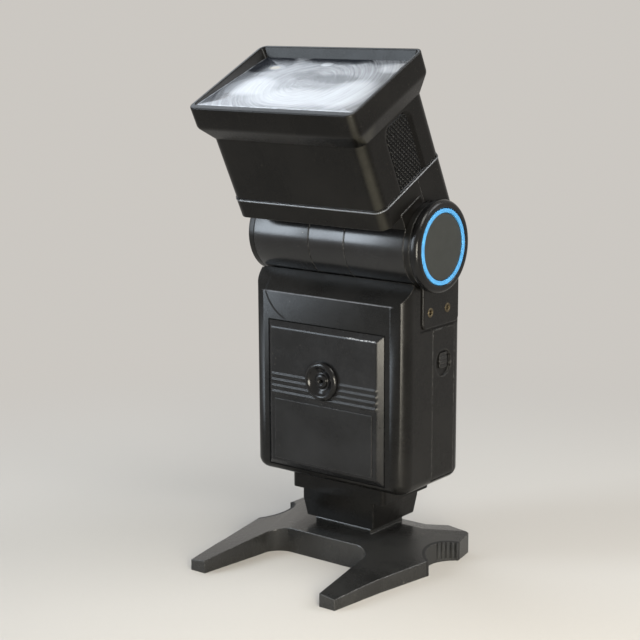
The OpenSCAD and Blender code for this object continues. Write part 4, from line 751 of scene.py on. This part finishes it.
def box_lip():
    """The bevelled upper edge of the head's box, which shows as a light line under the sleeve: a bevel with rounded
    ends carried along the box's outline. Its pale colour is partly wear and partly a painted highlight."""
    bevel = [(-0.2, -1), (0.1, -0.85), (0.16, -0.55), (-0.36, 0.03), (-0.75, 0.03)]
    rows = rounded([ring(BOX, out, BOX.corner, BOX.top + up) for out, up in bevel], [0.02, 0.12, 0.12], 3)
    form("box_lip", [patch(tube(rows, 8), close=True)], [], "barrel_plastic", 50, "head", in_head, "worn_lip")


def drums():
    """Smooth outer skins of the two drums: a cylinder with round ends on each side of the middle knuckle."""
    start, end, r = DRUM.start, DRUM.end, DRUM.radius
    profile = rounded([[r - 0.5, start], [r, start + 0.05], [r, end - 0.05], [r - 0.5, end]], [0.3, 0.3])
    form("drum_skins", [turned(profile, (0, 0, 0), 0, 128, side) for side in (-1, 1)], [], "barrel_plastic", 60,
         "head", in_head)


# Case: raised panel, sensor, sockets, hinge arms and disc, in the case's frame

def front_panel():
    """The raised panel: thickness = the lesser of its full thickness and the bevel's slope times the distance
    from the edge, blended where they meet, plus a rounded ridge for each rib. It is open behind the sensor."""
    k, ribs, margin = PANEL, RIBS, 3.2
    x = spread(-k.half, k.half, margin, 60, 14)[None, :]
    near_ribs = np.linspace(ribs.middle - ribs.reach, ribs.middle + ribs.reach, 90)
    z = np.unique(np.concatenate([spread(k.low, k.high, margin, 50, 14), near_ribs]))[:, None]
    reach = np.minimum(k.half - np.abs(x), np.minimum(z - k.low, k.high - z))
    slope = k.thick / k.bevel * reach
    gap = np.clip((k.blend - np.abs(slope - k.thick)) / k.blend, 0, 1)
    thick = np.minimum(slope, k.thick) - gap ** 2 * k.blend / 4
    place = (z - ribs.middle) / ribs.pitch + (ribs.count - 1) / 2
    from_rib = np.abs(place - np.clip(np.round(place), 0, ribs.count - 1)) * ribs.pitch
    rib = np.clip(1 - (from_rib / ribs.half) ** 4, 0, 1) ** 0.5
    points = grid(x, -thick - ribs.proud * rib * smoothstep(reach, 1.7, 2.5), z)
    middle = (points[:-1, :-1] + points[1:, 1:]) / 2
    keep = np.hypot(middle[..., 0], middle[..., 2] - SENSOR.z) > SENSOR.radius - 0.6
    form("front_plate", [patch(points, keep=keep)], ["front_panel"], "panel_plastic", 60)


def panel_gap():
    """A painted shadow in the thin gap round the panel's foot: a flat dark band between two rectangles."""
    k, y = PANEL, -0.03
    rings = np.array([[[x * (k.half + wide), y + back, k.low - wide if z < 0 else k.high + wide]
                       for x, z in ((-1, -1), (1, -1), (1, 1), (-1, 1))]
                      for wide, back in ((k.gap, -y), (k.gap, 0), (-0.1, 0))])
    form("panel_gap", [patch(rings, close=True)], [], "panel_plastic", 30, finish="shadow_gap")


def sensor_ring():
    """The sensor's window: a round-shouldered ring, a dish that falls inwards from it, and in its middle a
    low boss with a pinhole, turned about the sensor's axis."""
    r, y = SENSOR.radius, SENSOR.front
    profile = rounded([[r - 0.7, -1], [r - 0.25, -1.75], [r, y + 0.9], [r - 1.1, y], [r - 1.9, y + 0.05],
                       [r - 2.5, y + 0.75], [r - 3.5, y + 1.35], [3.3, y + 1.75], [2.75, y + 1.7], [2.45, y + 0.9],
                       [1.35, y + 0.75], [0.95, y + 1.1], [0.8, y + 3.4], [0.01, y + 3.5]],
                      [0.3, 0.8, 0.9, 0.6, 0.5, 0.5, 0.4, 0.35, 0.35, 0.3, 0.2, 0.1], 5)
    form("sensor_ring", [turned(profile, (0, 0, SENSOR.z), 1)], ["sensor_bezel", "photocell"], "gloss_black", 60)


def sockets():
    """Two sockets in the right arm: each a thin flanged ring round a bore with a pin, turned about its axis."""
    profile = rounded([[1.75, 35.5], [1.75, 35.62], [1.55, 35.72], [0.95, 35.7], [0.85, 35.4], [0.8, 34.5],
                       [0.4, 34.45], [0.35, 35.2], [0.01, 35.3]], [0.1, 0.12, 0.2, 0.1, 0.1, 0.1, 0.15])
    form("socket_rings", [turned(profile, (0, *place), 0, 40) for place in SOCKETS], ["side_sockets"],
         "gold_contacts", 50)


def arm(side, name, node):
    """A hinge arm's outer plate on the case's side: full thickness inside a rectangle with round lower
    corners and falling over a round edge, with the hub's cylinder above it. The right one has holes for the
    sockets and a boss under the disc, the left one a groove and a dimple in its hub."""
    k, margin = ARM, ARM.margin
    y = spread(k.front, k.back, margin, 60, 20)[None, :]
    z = np.concatenate([k.low + np.linspace(0, margin, 20), np.linspace(k.low + margin, k.high, 60)[1:]])[:, None]
    inside = -slab_distance(y, z, k.front, k.back, k.low, k.above, k.corner)
    r, proud = k.edge, k.proud
    fall = np.sqrt(np.clip(1 - (1 - np.clip(inside / r, 0, 1)) ** 2, 0, 1))
    x = k.inner + proud - r + r * fall - (proud - r) * (inside <= 0.01)
    plate = grid(side * np.where(inside <= 0, k.inner, x), y, z)
    centre = (plate[:-1, :-1] + plate[1:, 1:]) / 2
    keep = np.ones(centre.shape[:2], bool)
    r, out = HUB.radius, HUB.outer
    hub, cuts = [[r, HUB.inner], [r, out - 0.05], [14.6, out]], [0.1, 0.4]
    hubs = []
    if side > 0:
        for socket_y, socket_z in SOCKETS:
            keep &= np.hypot(centre[..., 1] - socket_y, centre[..., 2] - socket_z) > SOCKET_HOLE
        hub += [[0.01, out]]
        hubs = [turned([[r - 0.06, out - 0.1], [r - 0.06, out + 1.1], [4, out + 1.1]], AXIS, 0)]
    else:
        hub += [[12.4, out], [12.2, out - 0.35], [11.7, out - 0.35], [11.5, out], [4.6, out], [4.2, out - 0.5],
                [0.01, out - 0.6]]
        cuts += [0.15] * 6
    hubs = [turned(rounded(hub, cuts), AXIS, 0, side=side)] + hubs
    form(name, [patch(plate, keep=keep)] + hubs, [node], "case_plastic", 50)


def disc():
    """The disc on the hinge's right end, a rim with a round outer edge and a seat, and in the seat the ring and
    the face, all turned about the hinge axis."""
    k, out, outer = DISC, DISC.end, DISC.ring
    r, seat, inner = k.radius, outer + 0.1, outer - k.ring_w
    rim = [[k.bore, k.hub], [r - 0.6, k.hub], [r, k.hub + 0.6], [r, out - 1.1], [r - 0.9, out - 0.05],
           [outer + 0.45, out - 0.1], [seat, out - 0.45], [seat, out - k.deep], [k.bore, out - k.deep]]
    band = [[outer, out - 1.1], [outer, out - 0.12], [inner, out - 0.12], [inner, out - 1.1]]
    face = [[inner - 0.12, out - 1.15], [inner - 0.12, out - 0.45], [inner - 2, out - 0.34], [0.01, out - 0.3]]
    for name, node, slot, profile, cuts, steps in (
            ("disc_rim", "hinge_disc", "gloss_black", rim, [0.3, 0.3, 0.6, 0.8, 0.25, 0.2, 0.1], 5),
            ("disc_band", "disc_ring", "ring_blue", band, [0.22, 0.22], 4),
            ("disc_cap", "disc_face", "disc_grey", face, [0.2, 0.8], 4)):
        form(name, [turned(rounded(profile, cuts, steps), AXIS, 0, 128)], [node], slot, 60)


# Controls on the back, in the case's frame: x to the case's right, out from the panel's face

def on_back(points, place, turn=0, close=False):
    """A patch of points (right, up, out) beside a place on the control panel and turned about it."""
    u, v, out = np.moveaxis(np.asarray(points, float), -1, 0)
    c, s = math.cos(turn), math.sin(turn)
    return patch(grid(place[0] - u * c + v * s, CONTROL.face + out, place[1] + u * s + v * c), close)


def block(half_u, half_v, low, high, r, ridges=0, cells=30):
    """A block whose top falls away at its edges by a quarter circle, r - sqrt(r^2 - depth^2); its ridges are
    the square of a cosine across it. The outer rows run down to its foot."""
    u, v = (np.concatenate([[-half], -half * np.cos(np.linspace(0, math.pi, cells)), [half]])
            for half in (half_u, half_v))
    u, v = u[None, :], v[:, None]
    depth = np.clip(r + np.maximum(np.abs(u) - half_u, np.abs(v) - half_v), 0, r)
    out = high - r + np.sqrt(r * r - depth * depth)
    if ridges:
        wave = np.cos(math.pi * ridges * u / half_u / 2) ** 2
        out = out - 0.5 * (1 - wave) * (np.abs(u) < half_u - half_u / ridges / 2)
    out[:, [0, -1]] = low
    out[[0, -1], :] = low
    return grid(u, v, out)


def stub(profile, place, steps=72):
    """A profile of (radius, out) rows turned about an axis square to the control panel."""
    return turned(np.asarray(profile, float) + [0, CONTROL.face], (place[0], 0, place[1]), 1, steps)


def mode_dial():
    """The dial: rings whose radius is pressed in by shallow flutes, (0.5 + 0.5 cos)^1.5 round the rim, a raised
    cap and a pointer with a painted line. A row holds the radius, the height and the flutes' share."""
    k = CONTROL
    rows = rounded([[2, 0.35, 0], [9.1, 0.35, 0], [9.95, 0.8, 1], [9.7, 1.7, 1], [8.9, 2.12, 0.2],
                    [8.3, 2.05, 0], [7.9, 1.7, 0], [6.9, 1.68, 0], [6.4, 2.28, 0], [0.01, 2.34, 0]],
                   [0.2, 0.35, 0.4, 0.35, 0.2, 0.2, 0.2, 0.3])
    angle = np.linspace(0, 2 * math.pi, k.flutes * 9, endpoint=False)[None, :]
    radius = rows[:, :1] - k.flute * rows[:, 2:] * (0.5 + 0.5 * np.cos(k.flutes * angle)) ** 1.5
    body = grid(radius * np.cos(angle), radius * np.sin(angle), rows[:, 1:2])
    pointer = block(0.75, 2.3, 2, 2.58, 0.3) + [0, 3.6, 0]
    line = block(0.2, 1.8, 2.3, 2.61, 0.05, cells=5) + [0, 3.7, 0]
    form("dial_body", [on_back(body, k.dial, close=True), on_back(pointer, k.dial)],
         ["mode_dial"], "panel_plastic", 40, "dial")
    form("dial_line", [on_back(line, k.dial)], [], "switch_white", body="dial")


def keys():
    """Test button with a dished top, domed indicator lamps, and the two ridged sliders on their stems."""
    k, below = CONTROL, CONTROL.below
    r = k.test_r
    profile = rounded([[r, below], [r, 2.3], [r - 0.6, 2.66], [r - 1.6, 2.6], [r - 2.9, 2.3], [0.01, 2.2]],
                      [0.3, 0.4, 0.5, 0.7], 5)
    form("test_cap", [stub(profile, k.test)], ["test_button"], "button_red", 60, "test")
    r = k.lamp_r
    profile = rounded([[r, below], [r, 0.1], [r - 0.3, 0.35], [0.9, 0.39], [0.01, 0.4]], [0.2, 0.3, 0.3], 5)
    form("lamp_caps", [stub(profile, place) for place in k.lamps], ["indicator_lamps"], "lamp_amber", 60)
    parts = [block(3, 2.6, 0.35, 2.34, 0.5, ridges=5, cells=60), block(1.5, 1.2, -3.2, 0.4, 0.05, cells=6)]
    for name, node in (("power", "power_switch"), ("speed", "film_speed_slider")):
        form(name + "_key", [on_back(part, getattr(k, name)) for part in parts], [node], SLOTS[node], 40, name)


def panel_marks():
    """Collars round the button and the lamps, and plain printed marks without any letter or number: ticks
    round the dial and over the slider, two dots over the switch, two in colour by the dial, dividing lines."""
    k, low, high = CONTROL, MARK.low, MARK.high
    collars = []
    for place, r in ((k.test, k.test_r), *((place, k.lamp_r) for place in k.lamps)):
        wide = 0.6 + r / 8
        profile = [[r + 0.3, -0.2], [r + 0.3, 0.3], [r + 0.3 + wide, 0.3], [r + 0.5 + wide, -0.05]]
        collars.append(stub(rounded(profile, [0.15, 0.3]), place))
    form("collars", collars, [], "panel_plastic", 60)
    ticks = [(k.dial, MARK.ticks, 0.16, 0.6, math.radians(30 * n - 120)) for n in range(9)]
    ticks += [((k.speed[0] + 4 * n, k.speed[1]), 4.3 - 0.3 * (n % 2), 0.15, 0.85 - 0.3 * (n % 2), 0)
              for n in range(8)]
    ticks += [((0, z), 0, MARK.line, 0.12, 0) for z in (25.2, 51.5)]
    marks = [on_back(block(wide, tall, low, high, 0.02, cells=4) + [0, up, 0], place, turn)
             for place, up, wide, tall, turn in ticks]
    x, z = k.power
    ring_mark, dot = [[0.95, low], [0.95, high], [0.6, high], [0.6, low]], [[0.85, low], [0.85, high], [0.01, high]]
    marks += [stub(ring_mark, (x, z + MARK.over), 32), stub(dot, (x + MARK.apart, z + MARK.over), 32)]
    form("printed_marks", marks, [], "switch_white", 30)
    for turn, slot in ((-60, "button_red"), (60, "ring_blue")):
        a = math.radians(turn)
        place = (k.dial[0] - MARK.dots * math.sin(a), k.dial[1] + MARK.dots * math.cos(a))
        form("dot_" + slot, [stub(dot, place, 32)], [], slot, 30)


for make_pieces in (bezel, lens, sleeve, grips, mode_dial, keys, panel_marks, front_panel, panel_gap, sensor_ring,
                    disc, sockets, drums):
    make_pieces()
arm(1, "right_hinge_arm", "right_arm")
arm(-1, "left_hinge_arm", "left_arm")
box_lip()

# Pieces that keep the CAD's form

FINISH = {"stand_base": "stand_satin", "head_front_half": "head_black", "head_back_half": "head_black",
          "module_housing": "foot_black", "door_latch": "thumb_black", "hinge_yoke": "barrel_plastic"}
for node_name in sorted(set(SLOTS) - remade):
    skin(node_name)


# Camera, light and floor

VIEW = Sizes(azimuth=37.86, elevation=11.63, roll=-0.3, focal_px=1575.35, frame_px=640, distance=576.74,
             aim=(-2.33, 0, 61.58), sensor=36)
PALE = (0.6, 0.575, 0.54)


def look():
    """A camera at the photograph's viewpoint, fitted to the object's edges in a square frame: it rolls, leans
    down, turns to its azimuth, and stands at its distance from its aim."""
    optics = bpy.data.cameras.new("camera")
    optics.sensor_width = VIEW.sensor
    optics.lens = VIEW.focal_px / VIEW.frame_px * VIEW.sensor
    optics.clip_start, optics.clip_end = 0.01, 20
    camera = bpy.context.scene.camera = put("camera", optics)
    turn = Matrix.Translation((ORIGIN + VIEW.aim) * MM)
    for angle, axis in ((VIEW.azimuth, "Z"), (90 - VIEW.elevation, "X"), (VIEW.roll, "Z")):
        turn = turn @ Matrix.Rotation(math.radians(angle), 4, axis)
    camera.matrix_world = turn @ Matrix.Translation((0, 0, VIEW.distance * MM))


def soft_lamp(name, place, size, watts, color, tall=1, aim=(0, 0, 0.1)):
    """A soft lamp at a place in metres, facing a point, as wide as its size and tall times as high."""
    data = bpy.data.lights.new(name, "AREA")
    data.shape = "RECTANGLE"
    data.energy, data.size, data.size_y, data.color = watts, size, size * tall, color
    lamp = put(name, data)
    lamp.location = place
    lamp.rotation_euler = (Vector(aim) - Vector(place)).to_track_quat("-Z", "Y").to_euler()
    lamp.visible_camera = False


def toward(azimuth, elevation, reach):
    """A place at an angle round the object and above the floor: 0 is the front, 90 the right side."""
    a, e = math.radians(azimuth), math.radians(elevation)
    return (reach * math.sin(a) * math.cos(e), -reach * math.cos(a) * math.cos(e), 0.1 + reach * math.sin(e))


def light():
    """A warm key high on the right, a cool lamp low in front on the left, a small warm one near the camera that
    draws the upright corners, and two behind: a cool one on the left that the lens faces and one on the right.
    Cameras, gloss and glass see the surroundings pale; the object is lit by them dimmed."""
    soft_lamp("key", toward(64, 56, 0.9), 0.42, 4.6, (1, 0.98, 0.93))
    soft_lamp("front", toward(-41, 16, 1), 0.29, 7.4, (0.8, 0.9, 1), 2.3)
    soft_lamp("corner", (0.262, -0.25, 0.086), 0.1, 1.45, (1, 0.94, 0.8), 1.6, (0, 0, 0.086))
    soft_lamp("back", toward(-108, 48, 0.9), 0.58, 2.6, (0.8, 0.89, 1))
    soft_lamp("rear right", toward(126, 33, 0.9), 0.4, 3.2, (0.95, 0.97, 1))
    lit = 0.55
    g = Graph("surroundings", bpy.data.worlds.new("surroundings"))
    bpy.context.scene.world = g.owner
    background = g.node("ShaderNodeBackground", values=[PALE, lit + g.seen() * (1 - lit)])
    g.node("ShaderNodeOutputWorld", values=[background])


def floor():
    """A plain pale round sheet under the stand. Far from the object it takes the surroundings' own paleness
    for cameras, gloss and glass, so that it has no horizon."""
    g = Graph("floor_paper")
    fibre = g.noise(500, 3, 0.6)
    paper = g.shader(g.mix(fibre * 0.5, shade(PALE, 0.84), shade(PALE, 0.8)), 0.9, Specular_IOR_Level=0.2)
    glow = g.node("ShaderNodeEmission", values=[PALE, 1])
    x, y, _ = g.axes()
    far = ((x * x + y * y) ** 0.5).ramp(120, 340)
    g.node("ShaderNodeOutputMaterial", values=[g.node("ShaderNodeMixShader", values=[far * g.seen(), paper, glow])])
    mesh = mesh_of("floor", [turned([[metres, 0] for metres in (1e-5, 0.15, 0.9, 9)], (0, 0, 0), 2, 64)], np.array)
    mesh.materials.append(g.owner)
    smooth(mesh, 30)
    put("floor", mesh)


look()
light()
floor()
bpy.context.scene.view_settings.view_transform = "Standard"
